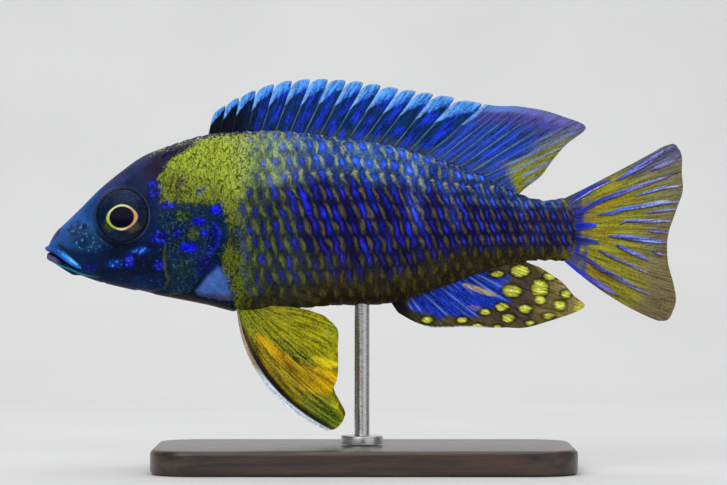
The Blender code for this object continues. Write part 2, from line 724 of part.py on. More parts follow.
def make_base(shown):
    """The stand's foot: a flat board with round corners and eased edges."""
    corner_steps = 6
    curve = bpy.data.curves.new("stand_base", "CURVE")
    curve.dimensions = "2D"
    curve.fill_mode = "BOTH"
    curve.extrude = BASE_THICK / 2
    spline = curve.splines.new("POLY")
    outline = []
    for quarter in range(4):
        turn = quarter * math.pi / 2 + math.pi / 4
        x = math.copysign(BASE_LENGTH / 2 - BASE_CORNER, math.cos(turn))
        y = math.copysign(BASE_WIDTH / 2 - BASE_CORNER, math.sin(turn))
        for step in range(corner_steps + 1):
            angle = quarter * math.pi / 2 + step / corner_steps * math.pi / 2
            outline.append((x + BASE_CORNER * math.cos(angle), y + BASE_CORNER * math.sin(angle)))
    spline.points.add(len(outline) - 1)
    for point, (x, y) in zip(spline.points, outline):
        point.co = (x, y, 0, 1)
    spline.use_cyclic_u = True
    made = bpy.data.objects.new("stand_base", curve)
    shown.objects.link(made)
    made = applied(made)
    made.location = (0, 0, BASE_THICK / 2)
    finish(made, "stand_wood")
    bevel = made.modifiers.new("Bevel", "BEVEL")
    bevel.width = BASE_BEVEL
    bevel.segments = 2
    bevel.limit_method = "ANGLE"
    bevel.angle_limit = SHARP_ANGLE


def main():
    clear_scene()
    shown = collection("peacock_cichlid")
    helpers = collection("cutters", shown=False)
    make_body(shown, helpers)
    make_gill_covers(shown, helpers)
    make_eyes(shown)
    make_fins(shown, helpers)
    make_base(shown)


main()
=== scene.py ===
"""The skin, scales, fins, eyes and stand of a male peacock cichlid, as a life-size display model.

Sizes are in millimetres here and become metres when a mesh is made. The fish faces -X with its
mid-plane on Y = 0, and the camera looks at its left side, which faces -Y.
"""

import math

import bpy
import numpy as np
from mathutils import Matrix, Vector


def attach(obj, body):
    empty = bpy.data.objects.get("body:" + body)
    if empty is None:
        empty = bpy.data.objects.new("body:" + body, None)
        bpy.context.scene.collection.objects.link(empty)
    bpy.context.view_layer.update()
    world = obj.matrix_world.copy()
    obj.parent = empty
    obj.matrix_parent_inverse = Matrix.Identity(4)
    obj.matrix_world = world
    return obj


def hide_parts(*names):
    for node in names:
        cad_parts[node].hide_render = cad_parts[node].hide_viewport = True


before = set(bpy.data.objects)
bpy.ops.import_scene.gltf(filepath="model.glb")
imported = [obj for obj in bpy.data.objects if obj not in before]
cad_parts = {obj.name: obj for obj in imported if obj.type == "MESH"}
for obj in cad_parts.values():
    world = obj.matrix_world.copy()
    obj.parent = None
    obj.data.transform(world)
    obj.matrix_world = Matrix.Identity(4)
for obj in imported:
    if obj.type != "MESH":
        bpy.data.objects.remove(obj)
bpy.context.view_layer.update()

MM = 0.001
PHOTO_WIDTH, PHOTO_HEIGHT = 727, 485
PIXEL = 0.2  # mm to the pixel at the fish's mid-plane
PHOTO_ORIGIN_X, PHOTO_FLOOR_Y = 364, 470  # the pixel where x and z are 0
CAMERA_DISTANCE, SENSOR_WIDTH = 700.0, 36.0

# The fish's outline at stations along it: x, height of the back, of the belly, half width
BODY = (
    (-63.2, 46.3, 41.9, 2.5),
    (-60.8, 48.4, 40.7, 3.1),
    (-56.8, 52.2, 39.0, 4.2),
    (-52.8, 56.2, 37.6, 5.3),
    (-48.8, 59.5, 36.6, 6.3),
    (-44.8, 62.4, 35.7, 7.2),
    (-38.8, 64.9, 34.5, 8.1),
    (-31.2, 67.1, 33.0, 8.7),
    (-24.8, 67.7, 31.5, 8.7),
    (-16.8, 67.8, 32.0, 8.4),
    (-6.8, 66.8, 32.9, 7.6),
    (5.2, 65.0, 33.4, 6.2),
    (15.2, 62.2, 36.4, 4.9),
    (23.2, 59.2, 39.4, 3.9),
    (31.2, 55.2, 41.6, 2.9),
    (36.2, 54.0, 41.9, 2.4),
    (39.8, 54.4, 41.8, 1.9),
    (42.4, 53.6, 42.4, 1.3),
)
NOSE_X, TAIL_X = BODY[0][0], BODY[-1][0]
NOSE_ROUND, TAIL_ROUND, TAIL_TAPER = 2.2, 1.2, 8.0
BROAD_LEVEL = 0.46
BACK_FULLNESS, BELLY_FULLNESS = 1.7, 2.2
ROOT_SINK = 1.2  # fin roots start this far inside the body

# The skin's rings: how far each stretch reaches and the step along it
RING_STRETCHES = ((-56.0, 0.14), (-40.0, 0.26), (-25.0, 0.32), (TAIL_X - TAIL_ROUND, 0.55))
RING_POINTS = 300

EYE_X, EYE_Z = -47.9, 50.9
EYE_RADIUS, EYE_DEPTH, EYE_SUNK = 5.25, 1.95, 0.62
EYE_RINGS, EYE_SIDES = 70, 110
RING_MIDDLE = (0.25, -0.6)
PUPIL_REACH, RING_REACH = (2.62, 2.2), (3.3, 2.6)  # half length and height to the golden ring and over it
MOUTH_LINE = (
    (-67.0, 46.0), (-63.7, 43.8), (-61.6, 43.0), (-60.0, 41.9), (-58.4, 40.9), (-56.8, 40.0), (-52.4, 38.4),
    (-50.4, 34.0),
)
MOUTH_CORNER_X, MOUTH_SLOPE = -56.9, 0.87
NOSTRIL_X, NOSTRIL_Z = -55.6, 48.6

# Where the head ends, from the nape down to the throat
GILL_SEAM = (
    (-34.0, 74.0), (-31.4, 62.0), (-28.4, 53.0), (-26.9, 49.0), (-26.9, 46.0), (-28.4, 42.4),
    (-27.6, 38.4), (-26.0, 33.6), (-24.9, 29.0),
)
# Outlines in the side view: the gill cover's plate, the rear of the cheek, the gill membrane, the shoulder
GILL_PLATE = (
    (-41.6, 51.4), (-37.6, 53.0), (-34.8, 52.8), (-31.8, 52.2), (-29.6, 50.8), (-28.2, 48.8), (-27.8, 46.8),
    (-28.6, 44.4), (-30.0, 41.8), (-31.6, 39.6), (-33.0, 37.2), (-34.2, 35.8), (-38.6, 35.2), (-38.8, 41.6),
)
CHEEK_EDGE = (
    (-39.8, 48.4), (-39.2, 45.0), (-38.8, 41.6), (-38.8, 38.0), (-39.6, 36.0), (-42.4, 35.4), (-45.2, 35.8),
)
GILL_MEMBRANE = (
    (-28.6, 40.8), (-27.2, 38.4), (-26.2, 35.6), (-26.6, 34.0), (-30.0, 34.4), (-33.0, 35.0),
    (-33.6, 36.0), (-32.2, 37.4), (-30.8, 39.0),
)
SHOULDER = (
    (-41.6, 60.4), (-40.8, 62.4), (-38.4, 64.0), (-35.6, 64.8), (-32.0, 66.4), (-27.8, 67.6), (-24.6, 67.8),
    (-23.2, 65.0), (-23.0, 61.0), (-24.0, 57.6), (-24.6, 55.4), (-25.2, 53.6), (-26.0, 51.0), (-25.4, 46.0),
    (-25.0, 41.6), (-24.2, 37.0), (-25.6, 34.0), (-26.6, 36.0), (-27.6, 39.6), (-28.0, 42.4), (-27.2, 46.0),
    (-27.0, 49.6), (-28.4, 52.4), (-32.8, 52.8), (-36.8, 52.8), (-40.0, 53.2), (-40.6, 56.0), (-41.2, 58.4),
)

# The lattice of scales: x, step from one scale to the next in a row, step from row to row
SCALE_STEPS = (
    (-66.0, 1.6, 2.2), (-40.0, 1.9, 2.5), (-27.0, 2.45, 3.1), (-19.0, 2.6, 3.3), (5.0, 2.6, 3.2),
    (15.0, 2.45, 2.8), (31.0, 2.2, 2.5), (46.0, 2.2, 2.5),
)
LATERAL_Z = 48.5  # the row that runs level
SCALED_FROM_X, SCALED_TO_X = -40.0, 39.3
SCALE_ROWS = 12  # above the level row, and as many below it
NAPE_SCALES_Z = 53.4  # from here up the scales reach in front of the gill opening
SCALES_BEHIND_GILL = 1.1
SCALE_SHAPE = {  # along a row in steps, across it in rows, outwards in mm, and the most it turns
    "Front": -0.85,
    "Rear": 0.55,
    "Half height": 0.92,
    "Roundness": 0.78,
    "Sink": 0.18,
    "Lift": 0.05,
    "Thickness": 0.07,
    "Turn": math.radians(4),
}
SKIN_UNDER_SCALES = 0.2
SCALE_SIZES = (0.97, 0.97, 0.8), (1.05, 1.03, 1.25)  # least and most share of that length, height, thickness
SCALE_SEED = 7

# Fin rays, smooth between the rays listed: ray, base x, tip x, tip z
DORSAL_SPINES = 15
DORSAL_RAYS = (
    (0, -31.2, -29.9, 71.6), (2, -26.2, -24.6, 74.8), (4, -20.8, -17.4, 77.4), (6, -15.2, -10.2, 78.2),
    (8, -9.4, -3.0, 77.9), (11, -0.8, 7.6, 76.2), (14, 8.4, 19.0, 74.3), (15, 11.6, 24.6, 73.1),
    (17, 16.2, 31.4, 72.7), (19, 20.6, 39.4, 70.9), (20, 22.8, 44.4, 68.6), (21, 24.8, 40.6, 65.2),
    (22, 26.8, 37.8, 62.0), (23, 28.6, 35.4, 58.8), (24, 30.2, 31.9, 56.2),
)
DORSAL_LEAN = 1.5
SPINY_TO, SOFT_FROM = DORSAL_SPINES - 0.09, DORSAL_SPINES - 0.08  # where lappets end, and where rays begin
LAPPET_NOTCH = 0.085  # steps before a spine, where one lappet ends and the next begins
# Free edge of a lappet: steps from its own spine to the next, and shares of the spine's length
LAPPET = (
    (-0.08, 0.845), (-0.055, 0.88), (-0.025, 0.91), (0.0, 0.93), (0.025, 0.942), (0.055, 0.953),
    (0.09, 0.963), (0.15, 0.977), (0.22, 0.988), (0.31, 0.996), (0.41, 1.0), (0.51, 1.002),
    (0.61, 1.002), (0.70, 1.0), (0.78, 0.996), (0.84, 0.985), (0.885, 0.945), (0.905, 0.90),
)
ANAL_RAYS = (
    (0, 4.9, 6.9, 31.4), (1, 6.8, 10.2, 29.6), (2, 8.8, 13.8, 28.5), (3, 11.0, 19.6, 28.6),
    (5, 15.6, 27.8, 28.5), (7, 20.0, 35.4, 29.3), (8, 22.4, 43.8, 32.4), (9, 25.0, 41.8, 35.0),
    (10, 27.8, 39.3, 37.8), (11, 30.6, 35.0, 40.6),
)
ANAL_LEAN = -1.2
CAUDAL_RAYS = (  # ray, base z, how far its middle bows upwards, tip x, tip z
    (0, 54.0, -0.2, 60.2, 64.8), (0.4, 53.7, -0.2, 62.0, 65.3), (1, 53.2, -0.1, 63.2, 64.2),
    (3, 51.6, 0.0, 63.8, 59.0), (4, 50.8, 0.0, 64.0, 56.4), (6, 49.2, 0.0, 62.6, 51.8),
    (8, 47.6, 0.0, 61.0, 46.8),
    (10, 46.0, 0.0, 61.0, 41.6), (12, 44.4, -0.3, 62.2, 36.8), (13, 43.7, -0.6, 62.6, 34.2),
    (14, 43.0, -0.9, 62.0, 31.8), (14.6, 42.6, -1.1, 60.8, 29.9), (15, 42.3, -1.3, 59.0, 29.8),
)
CAUDAL_BASE_X, CAUDAL_BEND = 39.4, 2.4
PELVIC_LEFT = (  # ray, base x, control x and z, tip x and z
    (0, -25.4, -24.0, 15.6, -7.4, 8.2), (0.5, -25.0, -22.0, 18.2, -5.4, 8.8),
    (1, -24.6, -20.4, 20.6, -4.0, 10.6), (1.7, -24.1, -19.2, 23.2, -4.9, 13.0),
    (2.4, -23.5, -18.2, 25.6, -6.2, 16.0), (3, -23.0, -17.0, 27.4, -5.3, 18.6),
    (4, -22.2, -14.6, 30.2, -5.2, 24.6), (4.6, -21.7, -13.6, 32.2, -5.4, 28.6),
    (5, -21.4, -13.0, 33.4, -7.6, 30.8),
)
PELVIC_RIGHT = (
    (0, -25.4, -22.6, 15.6, -5.6, 8.4), (1, -24.6, -19.0, 21.0, -3.8, 10.8),
    (2, -23.8, -18.0, 24.6, -5.0, 13.6), (3, -23.0, -16.6, 27.4, -6.2, 16.4),
    (4, -22.2, -14.6, 30.2, -6.8, 23.6), (5, -21.4, -13.4, 33.4, -7.6, 30.0),
)
PELVIC_ROOT_Y, PELVIC_SPREAD = 2.4, 5.0
PECTORAL_X, PECTORAL_Z, PECTORAL_ROOT = -24.6, 39.4, 4.6
PECTORAL_RAYS = 12
PECTORAL_SWING = math.radians(33)
PECTORAL_CUP = 0.12
# Ray, length, slope in degrees
PECTORAL_FAN = ((0, 19.0, 6.0), (2, 22.5, 0.0), (5, 21.0, -11.0), (8, 16.5, -26.0), (11, 11.0, -44.0))

MEMBRANE, SOFT_RAY, SPINE, FIN_EDGE = 0.16, 0.14, 0.34, 0.08  # thicknesses
RAY_PARTS, RAY_PARTS_AGAIN = 0.36, 0.72  # shares of a soft ray's length

BASE_LENGTH, BASE_WIDTH, BASE_THICK, BASE_CORNER, BASE_EASE = 84.0, 44.0, 5.0, 9.0, 1.0
ROD_X, ROD_RADIUS, FLANGE_RADIUS, FLANGE_THICK, ROD_GAP = -0.4, 1.5, 4.2, 1.6, 0.3
TURNED_SIDES = 72
CORNER_POINTS, EASE_POINTS = 17, 7  # along a corner of the board, and up its eased edge

SWEEP_HALF_WIDTH, SWEEP_END = 1500.0, 900.0  # how far the paper reaches sideways, and forwards and up
SWEEP_FROM_Y, SWEEP_RADIUS = 260.0, 240.0
LAMP_AIM_Z = 48
LAMPS = (  # name, position, size, power
    ("key_lamp", (-380, -620, 560), 800, 4.3),
    ("fill_lamp", (520, -560, 240), 800, 1.5),
    ("top_lamp", (40, 60, 620), 600, 2.4),
    ("back_lamp", (-60, 440, 460), 600, 0.9),
)
WORLD_LIGHT, WORLD_SEEN = 0.22, 0.75  # strength for the model, and as the camera sees it

# Skin tones: ground, blue mark and its strength, olive grain and its strength
FLANK_TONES = {
    "middle": ("10103E", "1420A8", 1.0, "645C3C", 0.86),
    "low": ("161430", "1C2478", 0.85, "4A4624", 0.85),
    "rear": ("12103E", "1C32BC", 1.0, "625648", 0.74),
    "upper": ("365688", "2850D8", 1.0, "94A47C", 0.84),
    "upper_rear": ("1E3468", "3058E0", 0.95, "6C7C78", 0.72),
    "front": ("283430", "18208C", 1.0, "667034", 0.82),
    "sage": ("6A7C66", "3C5CC4", 0.70, "98AA68", 0.85),
    "stalk": ("18183E", "2238B0", 0.90, "5C4C3C", 0.72),
    "belly": ("2E2A14", "1E183C", 0.25, "56501E", 0.70),
}
# Pale upright bars on the flank between the dark ones, partly the fish's pattern and partly painted sheen: x,
# half width, strength
PALE_BARS_AND_SHEEN = ((10.4, 1.2, 0.55), (18.0, 1.0, 0.45))
# Dark upright bars on the flank: x, half width, strength
BARS = (
    (-9.9, 1.4, 0.45), (-2.8, 1.8, 0.50), (6.4, 1.8, 0.60), (14.2, 1.6, 0.55), (20.8, 1.8, 0.60),
    (27.2, 1.6, 0.50),
)
LATERAL_ROW = 3.25  # the row along which the pale lateral line runs
UPPER_ROWS = (2.8, 3.4)  # over these rows the marks turn from tall strokes into rounder spots
FLECKS_FROM, FLECKS_WHOLE = 0.74, 0.86  # noise and strength together, where loose flecks begin and are whole
# Patches on the head: x, z, half length, half height, ground, fleck and how many flecks
HEAD_DABS = (
    (-54.4, 45.8, 3.6, 2.0, "123458", "4478B0", 0.34), (-57.0, 48.2, 2.4, 1.4, "1C3C68", "5A78A0", 0.32),
    (-54.4, 40.4, 1.2, 0.8, "0A1464", "1C34B0", 0.3), (-49.5, 41.3, 1.8, 0.8, "0C2C84", "2E7CF0", 0.52),
    (-46.5, 41.8, 1.0, 1.5, "0C148C", "3440F8", 0.56), (-44.4, 43.9, 1.6, 0.8, "0E3090", "3480F4", 0.58),
    (-40.5, 46.4, 1.8, 1.4, "081060", "2430E0", 0.48), (-40.6, 40.9, 1.4, 1.2, "08105C", "1C28D8", 0.50),
    (-41.8, 56.0, 1.3, 2.4, "080E4C", "1828C4", 0.46), (-39.0, 52.8, 1.7, 0.6, "0A1064", "1C28F0", 0.62),
    (-36.9, 47.4, 0.9, 1.3, "081048", "1C2CC8", 0.50), (-31.2, 40.7, 2.1, 2.1, "081248", "1828C0", 0.42),
    (-29.5, 46.6, 1.1, 2.8, "060C48", "1420A0", 0.45), (-30.7, 43.7, 0.8, 1.4, "081C54", "1C38B0", 0.4),
    (-35.8, 50.8, 2.2, 1.4, "182C20", "40602A", 0.46), (-36.0, 40.0, 2.4, 2.6, "0A2432", "285238", 0.40),
    (-42.6, 37.6, 3.4, 1.6, "052050", "184274", 0.28), (-33.7, 47.2, 1.2, 1.3, "303E18", "465420", 0.5),
    (-34.6, 44.6, 1.8, 1.0, "0404A8", "0C14F4", 0.62), (-32.6, 49.7, 1.3, 0.8, "060880", "141CE8", 0.55),
    (-31.5, 47.4, 0.6, 0.6, "080EA8", "1820FF", 0.6), (-29.3, 51.9, 1.0, 0.95, "060AD8", "1824FF", 0.8),
    (-32.4, 55.6, 0.5, 0.5, "182890", "2840D0", 0.6), (-36.2, 57.2, 0.7, 1.1, "50502C", "7A6860", 0.3),
)
# Lines on the head, two of them painted highlights: points, half width, colours from first to last
HEAD_LINES_AND_HIGHLIGHTS = (
    (((-39.4, 45.3), (-39.4, 40.2), (-38.9, 38.1), (-39.7, 36.2)), 0.30, "36441A", "4A5620"),
    (((-62.3, 41.5), (-59.4, 40.5), (-56.2, 39.1), (-52.7, 38.5)), 0.17, "1E7484", "1A7890"),
    (((-61.0, 45.2), (-59.0, 43.8), (-56.8, 41.7)), 0.22, "1A2430", "10182C"),
    # a painted highlight along the snout's front edge
    (((-63.0, 45.6), (-60.6, 48.2)), 0.5, "4A4AA0", "303C80"),
    (((-29.8, 49.6), (-28.4, 47.4), (-28.8, 44.8), (-30.6, 42.8)), 0.32, "0E24A8", "1428B0"),
    (((-62.4, 44.7), (-60.0, 43.1), (-58.2, 41.7), (-56.6, 40.5)), 0.62, "1C50B8", "1E78D8"),
    # a painted highlight along the middle of the upper lip
    (((-61.0, 44.0), (-59.2, 42.7), (-57.2, 41.1)), 0.26, "3090E8", "6CC0FF"),
)
# The brown lower edge of the throat
THROAT = ((-38.0, 34.4), (-33.0, 33.2), (-27.4, 31.6), (-26.0, 29.6))
# Egg spots on the anal fin: x, z, half length, half height
EGG_SPOTS = (
    (31.2, 39.8, 1.8, 1.2), (37.2, 38.8, 1.2, 0.8), (29.6, 35.8, 1.8, 1.2), (35.2, 36.4, 1.6, 1.8),
    (35.2, 34.0, 1.0, 0.8), (40.4, 35.2, 1.0, 0.8), (39.2, 33.0, 1.2, 1.0), (32.2, 32.2, 1.2, 0.8),
    (27.6, 32.6, 1.2, 0.8), (28.8, 30.4, 1.2, 0.8), (36.8, 30.8, 1.0, 0.6), (26.6, 39.2, 1.2, 0.6),
    (24.2, 31.6, 1.0, 0.6), (12.6, 30.0, 1.0, 0.6), (19.6, 30.0, 1.0, 0.6), (22.8, 28.8, 1.0, 0.5),
    (26.6, 28.6, 0.8, 0.4), (33.2, 29.4, 0.8, 0.5), (42.8, 32.4, 0.8, 0.6),
)
ANAL_BLUE = (
    (8.9, 34.2), (16.0, 38.4), (23.0, 39.8), (29.3, 39.1), (27.7, 36.2), (29.4, 33.6), (22.5, 30.4),
    (14.6, 30.6), (8.9, 32.4),
)
# Streaks on the anal fin: points, half width, colours from first to last
ANAL_STREAKS = (
    (((20.0, 37.2), (23.6, 35.8), (26.4, 34.9)), 0.50, "B49898", "9C9460"),
    (((21.2, 32.7), (24.2, 31.8)), 0.50, "6A62C0", "8A7C58"),
    (((26.6, 38.0), (28.6, 37.4)), 0.60, "2A3CC0", "4A50A0"),
)
# Streaks on the tail fin: points, half width, colours from first to last
CAUDAL_STREAKS = (
    (((41.8, 54.3), (44.9, 56.2), (49.6, 58.3)), 0.42, "2438C8", "3848B0"),
    (((41.8, 53.6), (45.6, 55.9), (50.2, 58.1)), 0.13, "B8BCE4", "C8D0F0"),
    (((50.4, 57.9), (53.4, 59.6), (57.1, 61.8), (59.6, 63.7), (62.1, 64.7)), 0.50, "1A38DC", "665EA0"),
    (((57.6, 60.0), (59.6, 61.0), (62.4, 62.1)), 0.40, "5A58B8", "6E66A4"),
    (((40.6, 50.6), (43.9, 52.1), (47.9, 54.2), (52.1, 55.8), (55.9, 57.2), (59.6, 58.5), (63.3, 59.8)),
     0.48, "1426C0", "7070B4"),
    (((54.2, 54.8), (57.1, 55.7), (59.6, 56.5), (63.9, 56.9)), 0.28, "4A64D0", "9AA8E0"),
    (((46.9, 51.1), (49.6, 51.5), (52.1, 52.3), (55.9, 52.9), (59.6, 53.6), (63.4, 53.7)),
     0.46, "2034E0", "9CC0FC"),
    (((56.6, 51.5), (59.6, 52.0), (62.6, 52.2)), 0.22, "4450B0", "7080D0"),
    (((51.2, 49.2), (52.6, 49.9), (55.9, 49.9), (61.6, 49.8)), 0.34, "3850D8", "A0B0F0"),
    (((41.2, 48.5), (43.4, 48.9), (46.6, 48.9)), 0.72, "1020B0", "1C40DC"),
    (((57.0, 47.9), (59.4, 47.7), (61.2, 47.5)), 0.30, "5048A8", "6458C0"),
    (((49.0, 46.9), (52.1, 46.7), (55.9, 46.1), (60.8, 45.5)), 0.50, "3044D8", "6080F0"),
    (((41.5, 46.2), (44.7, 45.9), (47.2, 45.4)), 0.55, "0C1858", "1A40B0"),
    (((50.4, 45.2), (52.6, 44.1), (55.1, 42.9), (57.2, 42.0)), 0.42, "3A4CD8", "5048C8"),
    (((46.9, 44.1), (49.6, 42.7), (53.4, 41.1), (56.8, 39.4)), 0.34, "50549C", "6A5878"),
    (((41.7, 44.0), (44.2, 42.6), (47.1, 40.4), (50.9, 38.4), (54.6, 36.4), (57.3, 35.1)),
     0.44, "3A3C90", "54449C"),
    (((40.2, 42.0), (42.2, 40.2), (45.4, 38.0), (47.9, 36.7), (51.0, 34.8)), 0.62, "1C38D4", "6A5CA8"),
    (((57.9, 44.1), (60.0, 43.0)), 0.32, "6A5A80", "6A5A80"),
)
# Streaks on the pelvic fins, in the order they are laid: points, half width, colours from first to last
PELVIC_STREAKS = (
    (((-20.4, 24.8), (-17.0, 21.6), (-12.0, 17.4), (-9.0, 15.0)), 3.2, "7A5E18", "74601C"),
    (((-21.4, 27.0), (-19.0, 24.9), (-16.0, 22.4), (-13.4, 20.4)), 0.95, "C08A10", "A87C14"),
    (((-13.0, 19.8), (-8.6, 18.0), (-5.4, 18.2)), 2.7, "A07814", "DCA800"),
    (((-10.0, 22.6), (-7.6, 21.6), (-5.2, 21.4)), 0.8, "C8B010", "DCCC10"),
    (((-18.2, 26.4), (-14.0, 23.8), (-12.0, 22.4), (-9.8, 20.9)), 1.05, "3C4C1C", "263612"),
    (((-11.6, 14.4), (-8.4, 12.2), (-5.4, 10.4)), 2.5, "5C6420", "3C6418"),
    (((-24.4, 28.6), (-22.6, 24.6), (-20.4, 20.8)), 0.9, "4A3A20", "2C2010"),
    (((-21.8, 22.6), (-19.9, 19.6), (-17.9, 17.2), (-14.4, 13.0), (-10.9, 10.4), (-8.0, 9.2)),
     0.8, "2A1C0C", "100C08"),
    (((-6.2, 14.6), (-5.4, 12.8)), 0.7, "8E9424", "D0D428"),
)


def linear_colour(hex_colour):
    """An sRGB hex colour as linear red, green and blue."""
    channels = np.array([int(hex_colour[i : i + 2], 16) / 255 for i in (0, 2, 4)])
    return np.where(channels <= 0.04045, channels / 12.92, ((channels + 0.055) / 1.055) ** 2.4)


def smooth(stations, t):
    """The values at each t on a smooth curve through stations, each of which is t and its values."""
    table = np.array(stations, float)
    at, rows = table[:, 0], table[:, 1:]
    slopes = np.gradient(rows, at, axis=0)
    t = np.asarray(t, float)
    i = np.clip(np.searchsorted(at, t) - 1, 0, len(at) - 2)
    span = (at[i + 1] - at[i])[..., None]
    s = (t - at[i])[..., None] / span
    start = (1 + 2 * s) * (1 - s) ** 2 * rows[i] + s * (1 - s) ** 2 * span * slopes[i]
    end = s * s * (3 - 2 * s) * rows[i + 1] + s * s * (s - 1) * span * slopes[i + 1]
    return np.moveaxis(start + end, -1, 0)


def step(start, end, t):
    """Rises smoothly from 0 at start to 1 at end, which may be the lower of the two."""
    share = np.clip((t - start) / (end - start), 0, 1)
    return share * share * (3 - 2 * share)


def ridge(distance, width):
    """1 on a line and falling off smoothly on both sides of it."""
    return np.exp(-((distance / width) ** 2))


def band(low, high, soft, t):
    """1 between low and high, with soft ends."""
    return step(low - soft, low + soft, t) * step(high + soft, high - soft, t)


def spot(mark, x, z):
    """Distance from a mark's middle, 1 on its outline; a mark is x, z, half length, half height."""
    return np.hypot((x - mark[0]) / mark[2], (z - mark[1]) / mark[3])


def along_line(points, x, z):
    """Distance from each (x, z) to a line through points, and the share of the line up to there."""
    nearest, share = np.full(np.shape(x), np.inf), np.zeros(np.shape(x))
    lengths = [math.dist(a, b) for a, b in zip(points, points[1:])]
    done = 0.0
    for (ax, az), (bx, bz), length in zip(points, points[1:], lengths):
        run, rise = bx - ax, bz - az
        t = np.clip(((x - ax) * run + (z - az) * rise) / length**2, 0, 1)
        distance = np.hypot(x - ax - t * run, z - az - t * rise)
        share = np.where(distance < nearest, (done + t * length) / sum(lengths), share)
        nearest = np.minimum(nearest, distance)
        done += length
    return nearest, share


def line_distance(points, x, z):
    return along_line(points, x, z)[0]


def inside(outline, x, z):
    """How far each (x, z) lies inside a closed outline, and negative outside it."""
    closed = list(outline) + [outline[0]]
    crossings = np.zeros(np.shape(x), int)
    for (ax, az), (bx, bz) in zip(closed, closed[1:]):
        if az != bz:
            crosses = ((az > z) != (bz > z)) & (x < (bx - ax) * (z - az) / (bz - az) + ax)
            crossings = crossings + crosses
    distance = line_distance(closed, x, z)
    return np.where(crossings % 2 == 1, distance, -distance)


def mottle(x, z, size, seed):
    """A smooth random field between about -1 and 1 with features of that size."""
    draw = np.random.default_rng(seed)
    field = np.zeros(np.shape(x))
    for turn, phase, stretch in draw.random((9, 3)):
        turn, phase, wave = turn * math.tau, phase * math.tau, (0.6 + 0.8 * stretch) * math.pi / size
        field = field + np.sin(wave * (x * math.cos(turn) + z * math.sin(turn)) + phase)
    return field / 4


def rounding(distance, length):
    share = np.clip(distance / length, 0, 1)
    return np.sqrt(1 - (1 - share) ** 2)


def section(x):
    """Broadest level, half width, height above it and depth below it of the body at x."""
    back, belly, wide = smooth(BODY, np.clip(x, NOSE_X, TAIL_X))
    level = belly + BROAD_LEVEL * (back - belly)
    nose, tail = rounding(x - NOSE_X, NOSE_ROUND), rounding(TAIL_X - x, TAIL_ROUND)
    taper = np.clip((TAIL_X + 0.2 - x) / TAIL_TAPER, 0, 1)
    width = wide * nose * np.minimum(tail, taper)
    return level, width, (back - level) * nose * tail, (level - belly) * nose * tail


def stack(*parts):
    """Points or vectors from their parts, spread to one shape."""
    return np.stack(np.broadcast_arrays(*parts), -1)


def body_point(x, angle):
    """The plain body's surface at x and at an angle round it, 0 on the right flank, up from there."""
    level, wide, up, down = section(x)
    rise, across = np.sin(angle), np.cos(angle)
    fullness = np.where(rise > 0, BACK_FULLNESS, BELLY_FULLNESS)
    y = wide * np.sign(across) * np.abs(across) ** (2 / fullness)
    z = level + np.where(rise > 0, up, down) * rise
    return stack(x, y, z)


def unit(vectors):
    return vectors / np.maximum(np.linalg.norm(vectors, axis=-1, keepdims=True), 1e-12)


def body_normal(x, angle):
    along = body_point(x + 0.2, angle) - body_point(x - 0.2, angle)
    round_it = body_point(x, angle + 0.02) - body_point(x, angle - 0.02)
    return unit(np.cross(round_it, along))


def side_y(x, z):
    level, wide, up, down = section(x)
    high = z > level
    rise = np.clip(np.abs(z - level) / np.where(high, up, down), 0, 1)
    return wide * (1 - rise**2) ** (1 / np.where(high, BACK_FULLNESS, BELLY_FULLNESS))


def back_z(x):
    level, _, up, _ = section(x)
    return level + up


def belly_z(x):
    level, _, _, down = section(x)
    return level - down


def seam_x(z):
    """Where the gill opening is at height z."""
    x, height = np.array(GILL_SEAM[::-1]).T
    return np.interp(z, height, x)


def row_arcs(x):
    """Angles round one flank, and for each x the distance along the skin to them from the level row."""
    angles = np.linspace(-math.pi / 2 - 0.5, math.pi / 2 + 0.5, 201)
    points = body_point(np.asarray(x, float)[:, None], angles[None, :])
    runs = np.linalg.norm(np.diff(points, axis=1), axis=-1)
    arcs = np.concatenate([np.zeros((len(runs), 1)), np.cumsum(runs, axis=1)], 1)
    level, _, up, down = section(np.asarray(x, float))
    offset = LATERAL_Z - level
    level_angle = np.arcsin(np.clip(offset / np.maximum(np.where(offset > 0, up, down), 1e-6), -1, 1))
    start = [np.interp(a, angles, row) for a, row in zip(level_angle, arcs)]
    return angles, arcs - np.array(start)[:, None]


def lattice_table():
    """x along the fish, and the number of scale steps from the snout to it."""
    x = np.linspace(SCALE_STEPS[0][0], SCALE_STEPS[-1][0], 1200)
    pitch, _ = smooth(SCALE_STEPS, x)
    return x, np.concatenate([[0], np.cumsum(np.diff(x) / pitch[:-1])])


def lattice_of_ring(x, folded_angles):
    """Column and rows of the scale lattice at one ring of the skin."""
    angles, arcs = row_arcs([x])
    _, spacing = smooth(SCALE_STEPS, x)
    column = np.interp(x, *lattice_table())
    return column, np.interp(folded_angles, angles, arcs[0]) / spacing


